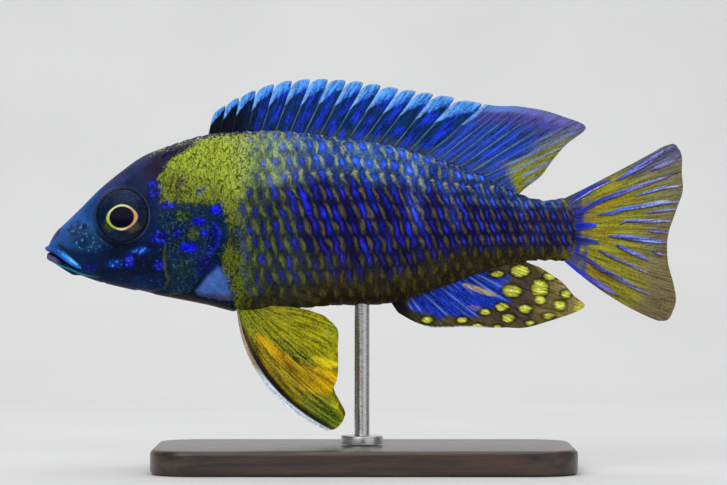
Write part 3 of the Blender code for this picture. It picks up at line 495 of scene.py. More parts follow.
def relief(x, z):
    """How far the skin stands out from the plain body at x and z of the side view."""
    mouth = (z - np.interp(x, *zip(*MOUTH_LINE))) * MOUTH_SLOPE
    lips = 0.62 * ridge(mouth - 0.62, 0.42) + 0.70 * ridge(mouth + 0.75, 0.50)
    lips = lips - 0.75 * ridge(mouth, 0.12) - 0.12 * ridge(mouth - 1.3, 0.18)
    out = lips * step(MOUTH_CORNER_X + 0.5, MOUTH_CORNER_X - 1.3, x)
    jaw_crease = line_distance(MOUTH_LINE[5:], x, z)
    out = out - 0.12 * ridge(jaw_crease, 0.25) * step(MOUTH_CORNER_X - 0.3, MOUTH_CORNER_X + 0.6, x)
    eye = np.hypot(x - EYE_X, z - EYE_Z)
    out = out + 0.20 * ridge(eye - 5.4, 0.33) - 0.12 * ridge(eye - 6.2, 0.35)
    out = out - 1.0 * step(5.35, 5.1, eye)
    nostril = np.hypot(x - NOSTRIL_X, z - NOSTRIL_Z)
    out = out + 0.08 * ridge(nostril - 0.7, 0.2) - 0.22 * step(0.55, 0.2, nostril)
    out = out - 0.22 * ridge(line_distance(CHEEK_EDGE, x, z), 0.32)
    plate = inside(GILL_PLATE, x, z)
    rear_share = step(-41.0, -34.0, x)
    out = out + rear_share * (0.42 * step(-0.05, 0.25, plate) - 0.25 * ridge(plate + 0.35, 0.25))
    seam = x - seam_x(z)
    low = step(52.0, 49.0, z)
    out = out - 0.3 * ridge(seam, 0.3) * low
    folds = inside(GILL_MEMBRANE, x, z)
    out = out + 0.10 * np.sin(2.6 * (x + 0.9 * z)) * step(-0.4, 0.4, folds)
    return out - SKIN_UNDER_SCALES * scaled(x, z)


def scaled(x, z):
    """1 where the skin carries scales."""
    behind_gill = step(0.2, 1.2, x - seam_x(z))
    nape = step(SCALED_FROM_X - 0.8, SCALED_FROM_X + 0.2, x) * step(53.0, 54.2, z)
    return np.maximum(behind_gill, nape) * step(SCALED_TO_X, SCALED_TO_X - 0.6, x)


class Paint:
    """Layers of colour on a set of points, each laid over the last where its mask is above 0."""

    def __init__(self, count, hex_colour, strength=1.0):
        self.colour = np.tile(linear_colour(hex_colour), (count, 1))
        self.strength = np.full(count, strength)

    def lay(self, mask, hex_colour, strength=None):
        mask = np.clip(mask, 0, 1)
        self.colour += (linear_colour(hex_colour) - self.colour) * mask[:, None]
        if strength is not None:
            self.strength += (strength - self.strength) * mask

    def stroke(self, x, z, points, half_width, first, last, strength=None, amount=1.0, taper=0.6):
        """Lays a streak along a line, narrower at its ends and changing colour on the way."""
        distance, share = along_line(points, x, z)
        width = half_width * (1 - taper * np.abs(2 * share - 1) ** 3)
        mask = amount * step(1.4, 0.6, distance / width + 0.12 * mottle(x, z, 0.7, 71))
        self.lay(mask, last, strength)
        self.lay(mask * step(0.95, 0.15, share), first)

    def rgba(self):
        return np.concatenate([self.colour, self.strength[:, None]], 1)


def flank_masks(x, z, rise):
    """Where each of the flank's tones lies, in the order they are laid."""
    rear = step(10.0, 22.0, x)
    belly_top = np.interp(x, (-24, 0, 20, 40), (0.09, 0.17, 0.24, 0.20))
    uneven = rise + 0.03 * mottle(x, z, 3.0, 3)
    return (
        ("middle", np.ones(len(x))),
        ("low", step(0.42, 0.26, uneven)),
        ("rear", rear * band(0.30, 0.72, 0.08, uneven)),
        ("upper", step(0.70, 0.80, uneven) * (1 - rear)),
        ("upper_rear", step(0.66, 0.80, uneven) * rear),
        ("front", step(-9.0, -19.0, x + 0.30 * (z - 50)) * step(0.76, 0.66, uneven)),
        ("sage", step(-9.0, -19.0, x) * step(55.6, 58.4, z + 0.7 * mottle(x, z, 1.5, 13))),
        ("stalk", step(27.0, 33.0, x) * step(0.88, 0.8, uneven)),
        ("belly", step(0.06, -0.05, uneven - belly_top)),
    )


def paint_flank(x, z):
    """Ground, blue marks and olive grains of the trunk."""
    ground, marks, grains = (Paint(len(x), "000000", 0.0) for _ in range(3))
    rise = (z - belly_z(x)) / np.maximum(back_z(x) - belly_z(x), 0.1)
    for name, mask in flank_masks(x, z, rise):
        tone, mark, mark_strength, grain, grain_strength = FLANK_TONES[name]
        ground.lay(mask, tone, 1.0)
        marks.lay(mask, mark, mark_strength)
        grains.lay(mask, grain, grain_strength)
    end = step(37.6, 41.4, x + 0.8 * mottle(x, z, 1.2, 15)) * step(0.25, 0.42, np.abs(rise - 0.5))
    ground.lay(end, "4C4A18")
    marks.lay(end, "2844C8", 0.5)
    grains.lay(end, "8A7A14", 0.6)
    for bar_x, half_width, strength in BARS:
        bar = ridge(x - bar_x + 0.12 * (z - 50), half_width) * band(0.25, 0.90, 0.12, rise)
        ground.lay(strength * bar, "120A28")
        marks.lay(0.8 * strength * bar, "1A1274")
        grains.lay(0.7 * strength * bar, "2A2020")
    # pale bars between the dark ones, which also carry a painted sheen
    for bar_x, half_width, strength in PALE_BARS_AND_SHEEN:
        bar = strength * ridge(x - bar_x + 0.12 * (z - 50), half_width) * band(0.50, 0.95, 0.10, rise)
        ground.lay(bar, "3C4A98")
        marks.lay(bar, "4068F8")
        grains.lay(bar, "8C8C88")
    return ground, marks, grains


def paint_shoulder(x, z, ground, marks, grains):
    """The olive-yellow grains of the shoulder and of the band down behind the gill opening."""
    edge = inside(SHOULDER, x, z) + 0.9 * mottle(x, z, 1.3, 11)
    loose = step(-2.4, 0.4, edge)
    patch = step(-1.3, 1.6, edge)
    rear = step(-28.5, -22.5, x + 0.2 * (z - 62))
    halo = step(-5.0, -0.8, edge)
    ground.lay(0.5 * halo, "44521E")
    grains.lay(0.6 * halo, "7C862E")
    ground.lay(step(-1.2, 0.6, edge), "2C3812")
    ground.lay(patch * rear, "5A683C")
    marks.lay(loose, "3A4AA0", 0.0)
    grains.lay(loose, "90A02E", 0.93)
    grains.lay(loose * rear, "94A456")
    grains.lay(loose * step(60.0, 55.0, z + 0.4 * (x + 32)), "6E7A22", 0.86)
    grains.lay(loose * step(53.0, 49.5, z), "5C661E", 0.80)
    # darker in the hollow just behind the gill cover's edge: painted shade
    painted_pocket_shade = step(1.3, 0.5, spot((-25.2, 46.6, 1.6, 2.9), x, z) + 0.2 * mottle(x, z, 1.2, 19))
    ground.lay(0.8 * painted_pocket_shade, "1C2C2C")
    grains.lay(0.8 * painted_pocket_shade, "30402A", 0.5)
    grains.strength -= loose * 0.07 * (1 + mottle(x, z, 1.3, 17)) * step(-30.0, -40.0, x + 0.8 * (z - 54))
    return loose


def head_mask(x, z):
    """1 on the head, in front of the gill opening and of the nape."""
    low_head = step(0.3, -0.1, x - seam_x(z)) * step(53.8, 52.4, z + 0.5 * mottle(x, z, 1.2, 6))
    nape = np.interp(z, (50.0, 58.0, 62.0, 66.0), (-40.4, -41.0, -38.4, -33.0))
    return np.maximum(low_head, step(0.6, -0.6, x - nape + 0.6 * mottle(x, z, 1.3, 5)))


def head_tones(x, z):
    """Where each of the head's tones lies, in the order they are laid."""
    return (
        (np.ones(len(x)), "051C46"),
        (step(54.5, 58.0, z), "1E2A50"),  # slate forehead
        (step(-46.0, -42.0, x) * step(56.0, 59.0, z), "241A30"),
        # a paler band along the head's upper outline: painted sheen
        (step(-0.5, 3.5, z - 0.95 * x - 101.5), "303460"),  # paler outline
        (step(-50.5, -55.5, x) * step(43.0, 46.0, z), "1C508C"),  # steel snout
        (step(-54.0, -59.0, x) * step(46.0, 50.0, z - 0.9 * (x + 58)), "345EA8"),
        (step(-56.0, -50.0, x) * step(47.5, 44.5, z), "021230"),  # dark cheek
        (step(40.0, 38.0, z) * step(-36.0, -41.0, x), "041838"),
    )


def plain_parts(x, z, head, membrane):
    """Parts of the head that have no flecks, and their tones, in the order they are laid; among them painted
    shade in the mouth's gap and the nostril, and a painted highlight and shadow round the eye.
    """
    throat = head * step(1.4, 0.8, line_distance(THROAT, x, z) + 0.15 * mottle(x, z, 1.5, 9))
    mouth = (z - np.interp(x, *zip(*MOUTH_LINE))) * MOUTH_SLOPE
    lips = step(MOUTH_CORNER_X + 0.6, MOUTH_CORNER_X - 0.6, x)
    eye = np.hypot(x - EYE_X, z - EYE_Z)
    turn = np.arctan2(z - EYE_Z, x - EYE_X)
    nostril = np.hypot(x - NOSTRIL_X, z - NOSTRIL_Z)
    return (
        (head * ridge(inside(GILL_PLATE, x, z), 0.3) * step(-35, -31, x) * 0.6, "0C2A4C"),
        (throat, "4E3420"),
        (throat * step(1.0, 0.5, line_distance(THROAT, x, z - 0.9)), "2A1E24"),
        (membrane, "4468B4"),
        (membrane * step(35.8, 34.6, z), "4A3C58"),
        (lips * band(-2.4, -0.3, 0.2, mouth) * step(-60.0, -61.8, x), "4E5078"),
        # near-black in the mouth's gap between the lips: painted shade
        (lips * ridge(mouth, 0.28), "060C1C"),
        (step(5.9, 5.3, eye), "16243C"),
        # a pale line round the eye's rim on its upper side: painted highlight
        (0.9 * ridge(eye - 5.35, 0.14) * step(-0.9, 0.3, np.sin(turn + 0.8)), "4A5468"),
        # dark below and behind the eye's rim: painted shadow in the crease
        (ridge(eye - 5.9, 0.35) * step(-0.3, -0.9, np.sin(turn + 0.2)), "060C1A"),
        # darker in the nostril's pit: painted shade
        (0.7 * step(0.65, 0.3, nostril), "141E38"),
    )


def paint_head(x, z, ground, marks, grains):
    """The dark blue head with its slate forehead, steel snout, bright flecks and azure lips."""
    head = head_mask(x, z)
    for mask, tone in head_tones(x, z):
        ground.lay(head * mask, tone)
    marks.lay(head, "1C40A0", 0.16)
    grains.lay(head, "0C1C34", 0.34)
    plate = step(-0.5, 0.7, inside(GILL_PLATE, x, z))
    ground.lay(plate, "0A2248")
    grains.lay(plate + step(-38, -36, x) * head, "28462C", 0.42)
    uneven = 0.22 * mottle(x, z, 0.8, 21)
    for *shape, tone, fleck, amount in HEAD_DABS:
        mask = step(1.3, 0.6, spot(shape, x, z) + uneven)
        ground.lay(mask, tone)
        marks.lay(mask, fleck, amount)
        grains.lay(mask, fleck, 0.0)
    membrane = step(-0.3, 0.4, inside(GILL_MEMBRANE, x, z))
    for mask, tone in plain_parts(x, z, head, membrane):
        for layer, strength in ((ground, None), (marks, 0.0), (grains, 0.0)):
            layer.lay(mask, tone, strength)
    for line in HEAD_LINES_AND_HIGHLIGHTS:
        ground.stroke(x, z, *line)
    return np.maximum(head, membrane), np.maximum(head * (1 - 0.7 * plate), membrane)


def paint_skin(points):
    """Colours and pattern strengths for points of the skin or of the scales, by name."""
    x, z = points[:, 0], points[:, 2]
    ground, marks, grains = paint_flank(x, z)
    loose = paint_shoulder(x, z, ground, marks, grains)
    head, calm = paint_head(x, z, ground, marks, grains)
    loose = np.maximum(loose, head)
    crest = step(1.5, 0.3, back_z(x) - z) * step(-45.0, -42.0, x) * step(-16.0, -22.0, x)
    ground.lay(crest, "2C2C4C")
    marks.lay(crest, "A8B0B4", 0.32)
    grains.lay(crest, "8C9434", 0.40)
    loose = np.maximum(loose, crest)
    line = band(-24.0, 30.0, 3.0, x) * (1 - loose)
    return {
        "Ground": ground.rgba(),
        "Marks": marks.rgba(),
        "Grains": grains.rgba(),
        "Pattern": np.stack([loose, line, calm], 1),
    }


def grid_cells(rows, columns, closed=False):
    """Row and column of the four corners of each cell in a grid, which may join round."""
    i, j = np.meshgrid(np.arange(rows - 1), np.arange(columns - (not closed)), indexing="ij")
    i, j = i.ravel(), j.ravel()
    return np.stack([i, i, i + 1, i + 1], 1), np.stack([j, j + 1, j + 1, j], 1)


def lay_out(mesh, corner_uv):
    """Keeps each face corner's place on the bake map."""
    mesh.uv_layers.new(name="OFBake").uv.foreach_set("vector", corner_uv.astype(np.float32).ravel())


def new_piece(name, points, faces, finish, corner_uv=None):
    """A smooth object from points in mm, with each face corner's place on the bake map if given."""
    mesh = bpy.data.meshes.new(name)
    mesh.from_pydata((points * MM).tolist(), [], faces)
    mesh.materials.append(finish)
    mesh.shade_smooth()
    if corner_uv is not None:
        lay_out(mesh, corner_uv)
    piece = bpy.data.objects.new(name, mesh)
    bpy.context.scene.collection.objects.link(piece)
    return piece


def read(items, field, width, kind):
    """One field of all of a mesh's points, corners or faces, as rows of that many numbers."""
    values = np.zeros(len(items) * width, kind)
    items.foreach_get(field, values)
    return values.reshape(-1, width)


def store(piece, attributes):
    """Keeps values for each point on the mesh, as numbers, vectors or colours by their width."""
    kinds = {1: ("FLOAT", "value"), 3: ("FLOAT_VECTOR", "vector"), 4: ("FLOAT_COLOR", "color")}
    for name, values in attributes.items():
        values = np.asarray(values, np.float32)
        kind, field = kinds[1 if values.ndim == 1 else values.shape[1]]
        layer = piece.data.attributes.new(name, kind, "POINT")
        layer.data.foreach_set(field, values.ravel())


def place(piece, slot_name, *nodes):
    """Makes the piece move with the fish and hides the solids it stands for; slot_name is not used."""
    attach(piece, "root")
    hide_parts(*nodes)


def ring_places():
    """Stations for the skin's rings, closest together round the lips."""
    nose = NOSE_X + NOSE_ROUND * (1 - np.cos(np.radians(np.linspace(6, 86, 15))))
    tail = TAIL_X - TAIL_ROUND * (1 - np.cos(np.radians(np.linspace(86, 8, 8))))
    places, start = [nose], nose[-1]
    for end, gap in RING_STRETCHES:
        places.append(np.linspace(start, end, round((end - start) / gap) + 1)[1:])
        start = end
    return np.concatenate(places + [tail[1:]])


def end_fan_uv(tip_u, ring_u, shifts):
    """The bake map's corners for the fan of faces that closes one end of the skin."""
    turns = np.arange(RING_POINTS)
    u = [np.full(RING_POINTS, value) for value in (tip_u, ring_u, ring_u)]
    v = [(turns + shift) / RING_POINTS for shift in shifts]
    return np.stack([u, v], -1).transpose(1, 0, 2).reshape(-1, 2)


def make_skin(finish):
    """One closed skin over head, gill covers, trunk and tail stalk."""
    x = ring_places()
    turns = np.arange(RING_POINTS) / RING_POINTS
    angles = turns * math.tau - math.pi / 2
    points = body_point(x[:, None], angles[None, :])
    round_it = np.roll(points, -1, axis=1) - np.roll(points, 1, axis=1)
    normals = unit(np.cross(round_it, np.gradient(points, axis=0)))
    points = points + normals * relief(points[..., 0], points[..., 2])[..., None]
    folded = np.arcsin(np.clip(np.sin(angles), -1, 1))
    lattice = np.zeros_like(points)
    for ring, ring_x in enumerate(x):
        lattice[ring, :, 0], lattice[ring, :, 1] = lattice_of_ring(ring_x, folded)
    tips = np.array([[NOSE_X - 0.02, 0, section(x[0])[0]], [TAIL_X + 0.02, 0, section(x[-1])[0]]])
    everything = np.concatenate([points.reshape(-1, 3), tips])
    i, j = grid_cells(len(x), RING_POINTS, closed=True)
    faces = (i * RING_POINTS + j % RING_POINTS).tolist()
    nose, tail = len(everything) - 2, len(everything) - 1
    k = np.arange(RING_POINTS)
    last = (len(x) - 1) * RING_POINTS
    faces += np.stack([np.full(RING_POINTS, nose), (k + 1) % RING_POINTS, k], 1).tolist()
    faces += np.stack([np.full(RING_POINTS, tail), last + k, last + (k + 1) % RING_POINTS], 1).tolist()
    along = 0.02 + 0.96 * np.arange(len(x)) / (len(x) - 1)
    grid_uv = np.stack([along[i], j / RING_POINTS], -1).reshape(-1, 2)
    nose_uv, tail_uv = end_fan_uv(0, along[0], (0.5, 1, 0)), end_fan_uv(1, along[-1], (0.5, 0, 1))
    skin = new_piece("fish_skin", everything, faces, finish, np.concatenate([grid_uv, nose_uv, tail_uv]))
    lattice = np.concatenate([lattice.reshape(-1, 3), np.zeros((2, 3))])
    store(skin, {**paint_skin(everything), "Lattice": lattice})
    place(skin, "skin", "head", "lower_jaw", "gill_cover_left", "gill_cover_right", "torso", "tail_stalk")


def scale_roots():
    """Column and row of each scale of one flank."""
    table_x, table_column = lattice_table()
    roots = []
    for row in range(-SCALE_ROWS, SCALE_ROWS + 1):
        columns = np.arange(0, table_column[-1]) + 0.5 * (row % 2)
        x = np.interp(columns, table_column, table_x)
        kept = (x > SCALED_FROM_X) & (x < SCALED_TO_X)
        columns, x = columns[kept], x[kept]
        angles, arcs = row_arcs(x)
        _, spacing = smooth(SCALE_STEPS, x)
        for column, at, gap, arc in zip(columns, x, spacing, arcs):
            angle = np.interp(row * gap, arc, angles)
            z = body_point(at, angle)[2]
            on_head = z < NAPE_SCALES_Z and at < seam_x(z) + SCALES_BEHIND_GILL
            if abs(angle) <= math.pi / 2 - 0.02 and not on_head:
                roots.append((column, row, 0.0))
    return np.array(roots)


def fill(tree, node, sockets):
    """Sets a node's input sockets, or links them to other nodes' outputs."""
    for key, value in sockets.items():
        if isinstance(value, bpy.types.NodeSocket):
            tree.links.new(value, node.inputs[key])
        else:
            node.inputs[key].default_value = value


def add(tree, kind, sockets=None, output=0, **settings):
    """Adds a node with its settings, fills its sockets, and gives back one output."""
    made = tree.nodes.new(kind)
    for name, value in settings.items():
        setattr(made, name, value)
    fill(tree, made, sockets or {})
    return made.outputs[output]


MATH, MIX, NOISE = "ShaderNodeMath", "ShaderNodeMix", "ShaderNodeTexNoise"
RANGE, VECTOR_MATH, ATTRIBUTE = "ShaderNodeMapRange", "ShaderNodeVectorMath", "ShaderNodeAttribute"
BUMP, COMBINE, SEPARATE = "ShaderNodeBump", "ShaderNodeCombineXYZ", "ShaderNodeSeparateXYZ"
COLOUR_A, COLOUR_B, COLOUR_OUT = 6, 7, 2  # the Mix node's sockets for colours


def shaped_scale(tree, given):
    """One closed scale: a thin block, rounded behind, with its front sunk in the skin."""
    block = add(tree, "GeometryNodeMeshCube", {"Vertices X": 4, "Vertices Y": 7, "Vertices Z": 2})
    position = add(tree, "GeometryNodeInputPosition")
    block_x, block_y, block_z = add(tree, SEPARATE, {0: position}).node.outputs
    along = add(tree, MATH, {0: block_x, 1: 0.5}, operation="ADD")
    across = add(tree, MATH, {0: block_y, 1: 2.0}, operation="MULTIPLY")
    squared = add(tree, MATH, {0: across, 1: across}, operation="MULTIPLY")
    bulge = add(tree, MATH, {0: squared, 1: given["Roundness"]}, operation="MULTIPLY")
    rear = add(tree, MATH, {0: given["Rear"], 1: bulge}, operation="SUBTRACT")
    inner = add(tree, MATH, {0: squared, 1: 0.15}, operation="MULTIPLY")
    front = add(tree, MATH, {0: given["Front"], 1: inner}, operation="ADD")
    run = add(tree, MATH, {0: rear, 1: front}, operation="SUBTRACT")
    x = add(tree, MATH, {0: run, 1: along, 2: front}, operation="MULTIPLY_ADD")
    y = add(tree, MATH, {0: across, 1: given["Half height"]}, operation="MULTIPLY")
    climb = add(tree, MATH, {0: given["Lift"], 1: given["Sink"]}, operation="ADD")
    raised = add(tree, MATH, {0: climb, 1: along}, operation="MULTIPLY")
    middle = add(tree, MATH, {0: raised, 1: given["Sink"]}, operation="SUBTRACT")
    z = add(tree, MATH, {0: block_z, 1: given["Thickness"], 2: middle}, operation="MULTIPLY_ADD")
    shape = add(tree, COMBINE, {0: x, 1: y, 2: z})
    scale = add(tree, "GeometryNodeSetPosition", {"Geometry": block, "Position": shape})
    return add(tree, "GeometryNodeSetShadeSmooth", {"Geometry": scale, "Shade Smooth": True})


def scale_tree():
    """Geometry nodes that set one closed scale on each point of the lattice, each a little different."""
    tree = bpy.data.node_groups.new("scale coat", "GeometryNodeTree")
    sockets = tree.interface
    sockets.new_socket("Geometry", in_out="INPUT", socket_type="NodeSocketGeometry")
    for name in SCALE_SHAPE:
        sockets.new_socket(name, in_out="INPUT", socket_type="NodeSocketFloat")
    sockets.new_socket("Seed", in_out="INPUT", socket_type="NodeSocketInt")
    sockets.new_socket("Finish", in_out="INPUT", socket_type="NodeSocketMaterial")
    sockets.new_socket("Geometry", in_out="OUTPUT", socket_type="NodeSocketGeometry")
    given = tree.nodes.new("NodeGroupInput").outputs
    back_turn = add(tree, MATH, {0: given["Turn"], 1: -1.0}, operation="MULTIPLY")
    turns = [add(tree, COMBINE, {2: turn}) for turn in (back_turn, given["Turn"])]
    turn, size = (
        add(tree, "FunctionNodeRandomValue", {0: least, 1: most, 8: given["Seed"]}, data_type="FLOAT_VECTOR")
        for least, most in (turns, SCALE_SIZES)
    )
    coat = add(tree, "GeometryNodeInstanceOnPoints",
               {"Points": given["Geometry"], "Instance": shaped_scale(tree, given), "Rotation": turn,
                "Scale": size})
    real = add(tree, "GeometryNodeRealizeInstances", {"Geometry": coat})
    finished = add(tree, "GeometryNodeSetMaterial", {"Geometry": real, "Material": given["Finish"]})
    ending = tree.nodes.new("NodeGroupOutput")
    tree.links.new(finished, ending.inputs[0])
    return tree


def grown(piece, tree, values):
    """The plain mesh that a geometry node tree makes of the piece with these named inputs."""
    modifier = piece.modifiers.new(tree.name, "NODES")
    modifier.node_group = tree
    for item in tree.interface.items_tree:
        if item.in_out == "INPUT" and item.name in values:
            modifier[item.identifier] = values[item.name]
    graph = bpy.context.evaluated_depsgraph_get()
    mesh = bpy.data.meshes.new_from_object(piece.evaluated_get(graph))
    piece.modifiers.clear()
    return mesh


def lattice_to_body(lattice, side):
    """Points on and over one flank from their column, row and height above the skin."""
    x = np.interp(lattice[:, 0], *lattice_table()[::-1])
    _, spacing = smooth(SCALE_STEPS, x)
    angles, arcs = row_arcs(x)
    wanted = lattice[:, 1] * spacing
    angle = np.array([np.interp(s, arc, angles) for s, arc in zip(wanted, arcs)])
    points = body_point(x, angle) + body_normal(x, angle) * lattice[:, 2:]
    points[:, 1] *= side
    return points


def make_scales(finish):
    """The coat: one closed scale on each place of the lattice, laid along each flank."""
    roots = scale_roots()
    tree = scale_tree()
    values = {**SCALE_SHAPE, "Seed": SCALE_SEED, "Finish": finish}
    for name, side in (("left", -1), ("right", 1)):
        carrier = new_piece(f"scales_{name}", roots / MM, [], finish)  # laid out in the lattice's steps
        store(carrier, {"root": roots})
        coat = grown(carrier, tree, values)
        old = carrier.data
        carrier.data = coat
        bpy.data.meshes.remove(old)
        lattice = read(coat.vertices, "co", 3, np.float32).astype(float)
        root = read(coat.attributes["root"].data, "vector", 3, np.float32)
        points = lattice_to_body(lattice, side)
        coat.vertices.foreach_set("co", (points * MM).astype(np.float32).ravel())
        if side > 0:
            coat.flip_normals()
        store(carrier, {**paint_skin(points), "Lattice": lattice * (1, 1, 0)})
        lay_out_scales(coat, lattice, root)
        coat.attributes.remove(coat.attributes["root"])
        coat.set_sharp_from_angle(angle=math.radians(50))
        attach(carrier, "root")


def lay_out_scales(mesh, lattice, root):
    """The bake map: each scale is a patch at its root's place on the unrolled flank, its outer face
    in the patch's front three quarters and its rim and inner face behind."""
    corners = read(mesh.loops, "vertex_index", 1, np.int32)[:, 0]
    starts, sizes = (read(mesh.polygons, name, 1, np.int32)[:, 0] for name in ("loop_start", "loop_total"))
    height = lattice[:, 2] - np.interp(lattice[:, 0] - root[:, 0],
                                       [SCALE_SHAPE["Front"], SCALE_SHAPE["Rear"]],
                                       [-SCALE_SHAPE["Sink"], SCALE_SHAPE["Lift"]])
    outer_corner = height[corners] > 0
    outer_face = np.array([outer_corner[s : s + n].all() for s, n in zip(starts, sizes)])
    outer = np.repeat(outer_face, sizes)
    offset = (lattice - root)[corners]
    run = SCALE_SHAPE["Rear"] - SCALE_SHAPE["Front"]
    share = np.clip((offset[:, 0] - SCALE_SHAPE["Front"]) / run, 0, 1)
    across = np.clip(offset[:, 1] / (2.2 * SCALE_SHAPE["Half height"]), -0.48, 0.48)
    cell = np.where(outer, 0.02 + 0.72 * share, 0.78 + 0.18 * share)
    column = root[corners, 0] + cell
    row = root[corners, 1] + 0.5 + across
    low, high = root.min(0), root.max(0)
    u = (column - low[0]) / (high[0] - low[0] + 1.5)
    v = (row - low[1]) / (high[1] - low[1] + 1.0)
    lay_out(mesh, np.stack([u, v], 1))


def fin_sheet(name, point, columns, rows, thickness, paint, finish):
    """A closed sheet over a grid of u across the rays and v along them, thicker where rays run."""
    u, v = np.meshgrid(columns, rows, indexing="ij")
    middle = point(u, v)
    normals = unit(np.cross(np.gradient(middle, axis=0), np.gradient(middle, axis=1)))
    rise = normals * 0.5 * thickness(u, v)[..., None]
    points = np.concatenate([(middle + rise).reshape(-1, 3), (middle - rise).reshape(-1, 3)])
    across, along = u.shape
    i, j = grid_cells(across, along)
    far = i * along + j
    near = far[:, ::-1]
    edge = np.concatenate([
        np.arange(across - 1) * along,
        (across - 1) * along + np.arange(along - 1),
        np.arange(across - 1, 0, -1) * along + along - 1,
        np.arange(along - 1, 0, -1),
    ])
    following = np.roll(edge, -1)
    rim = np.stack([edge, following, following + u.size, edge + u.size], 1)
    faces = near.tolist() + (far + u.size).tolist() + rim.tolist()
    flat_u, flat_v = (
        flat.ravel()
        for flat in np.meshgrid(np.linspace(0, 1, across), np.linspace(0.01, 0.99, along), indexing="ij")
    )
    corner_uv = np.concatenate([
        np.stack([start + 0.47 * flat_u[corners], flat_v[corners]], -1).reshape(-1, 2)
        for start, corners in ((0.01, near), (0.52, far), (0.01, rim % u.size))
    ])
    piece = new_piece(name, points, faces, finish, corner_uv)
    u, v = np.tile(u.ravel(), 2), np.tile(v.ravel(), 2)
    colours = paint(points[:, 0], points[:, 2], u, v)
    store(piece, {**colours, "Rays": np.stack([u, v, np.zeros(len(u))], 1)})
    return piece


def columns_over(rays, per_ray, first=0):
    """Even columns from the first ray to the last, so many from one ray to the next."""
    last = rays[-1][0]
    return np.linspace(first, last, (last - first) * per_ray + 1)


def ray_ridges(u, v):
    """How much of a soft ray there is: each one parts in two along its way, and again near its tip."""
    from_ray = u - np.round(u)
    spread = 0.15 * step(RAY_PARTS, RAY_PARTS + 0.35, v)
    tips = 0.07 * step(RAY_PARTS_AGAIN, 1.0, v)
    ridges = np.zeros(np.shape(u))
    for first in (-1, 1):
        for other in (-1, 1):
            ridges = np.maximum(ridges, ridge(from_ray - first * spread - other * tips, 0.055))
    return ridges


def soft_thickness(u, v):
    ray = SOFT_RAY * (1.6 - v) * ray_ridges(u, v)
    return (MEMBRANE + ray) * (1 - 0.3 * v) + (FIN_EDGE - MEMBRANE) * step(0.97, 1.0, v)


def spine_offset(u):
    """Steps from the spine at the front of a lappet, from its notch to the next one's."""
    return u - np.floor(u + LAPPET_NOTCH)


def dorsal_share(u, v):
    """Share of the way from the base to a spine's or ray's tip, which the notched edge falls short of."""
    return v * np.where(u < SPINY_TO, np.interp(spine_offset(u), *zip(*LAPPET)), 1.0)


def dorsal_thickness(u, v):
    spine = SPINE * (1 - 0.55 * v) * ridge(spine_offset(u), 0.045)
    edge = (FIN_EDGE - MEMBRANE) * step(0.93, 1.0, v)
    return np.where(u < SPINY_TO, MEMBRANE + spine + edge, soft_thickness(u, v))


def bowed(base, control, tip, v):
    """Points on curves that leave base towards control and end at tip."""
    v = v[..., None]
    return base * (1 - v) ** 2 + control * 2 * v * (1 - v) + tip * v * v


def dorsal_point(u, v):
    base_x, tip_x, tip_z = smooth(DORSAL_RAYS, u)
    share = dorsal_share(u, v)
    base_z = back_z(base_x) - ROOT_SINK
    lean = DORSAL_LEAN * (u / DORSAL_RAYS[-1][0]) ** 2 * share**2
    return stack(base_x + (tip_x - base_x) * share, lean, base_z + (tip_z - base_z) * share)


def anal_point(u, v):
    base_x, tip_x, tip_z = smooth(ANAL_RAYS, u)
    base = stack(base_x, 0.0, belly_z(base_x) + ROOT_SINK)
    tip = stack(tip_x, ANAL_LEAN * u / ANAL_RAYS[-1][0], tip_z)
    control = 0.5 * (base + stack(tip_x, 0.0, tip_z)) - np.array([0, 0, 0.4])
    return bowed(base, control, tip, v)


def caudal_point(u, v):
    base_z, bow, tip_x, tip_z = smooth(CAUDAL_RAYS, u)
    base = stack(CAUDAL_BASE_X, 0.0, base_z)
    tip = stack(tip_x, CAUDAL_BEND, tip_z)
    control = stack(0.5 * (CAUDAL_BASE_X + tip_x), 0.0, 0.5 * (base_z + tip_z) + 2 * bow)
    return bowed(base, control, tip, v)


def pelvic_point(rays, side):
    """The middle surface of one pelvic fin, by ray and share of its length."""

    def point(u, v):
        base_x, control_x, control_z, tip_x, tip_z = smooth(rays, u)
        root_y = side * PELVIC_ROOT_Y
        base = stack(base_x, root_y, belly_z(base_x) + ROOT_SINK)
        control = stack(control_x, root_y + side * 0.4 * PELVIC_SPREAD, control_z)
        tip = stack(tip_x, root_y + side * PELVIC_SPREAD, tip_z)
        return bowed(base, control, tip, v)

    return point


def pectoral_point(side):
    """The middle surface of one pectoral fin, by ray and share of its length."""

    def point(u, v):
        length, slope = smooth(PECTORAL_FAN, u)
        slope = np.radians(slope)
        root_z = PECTORAL_Z + PECTORAL_ROOT * (0.5 - u / (PECTORAL_RAYS - 1))
        root_y = side_y(np.full(np.shape(u), PECTORAL_X), root_z) - ROOT_SINK
        run = length * np.cos(slope)
        out = run * math.sin(PECTORAL_SWING) * v + PECTORAL_CUP * run * v * (1 - v)
        x = PECTORAL_X + run * math.cos(PECTORAL_SWING) * v
        return stack(x, side * (root_y + out), root_z + length * np.sin(slope) * v)

    return point


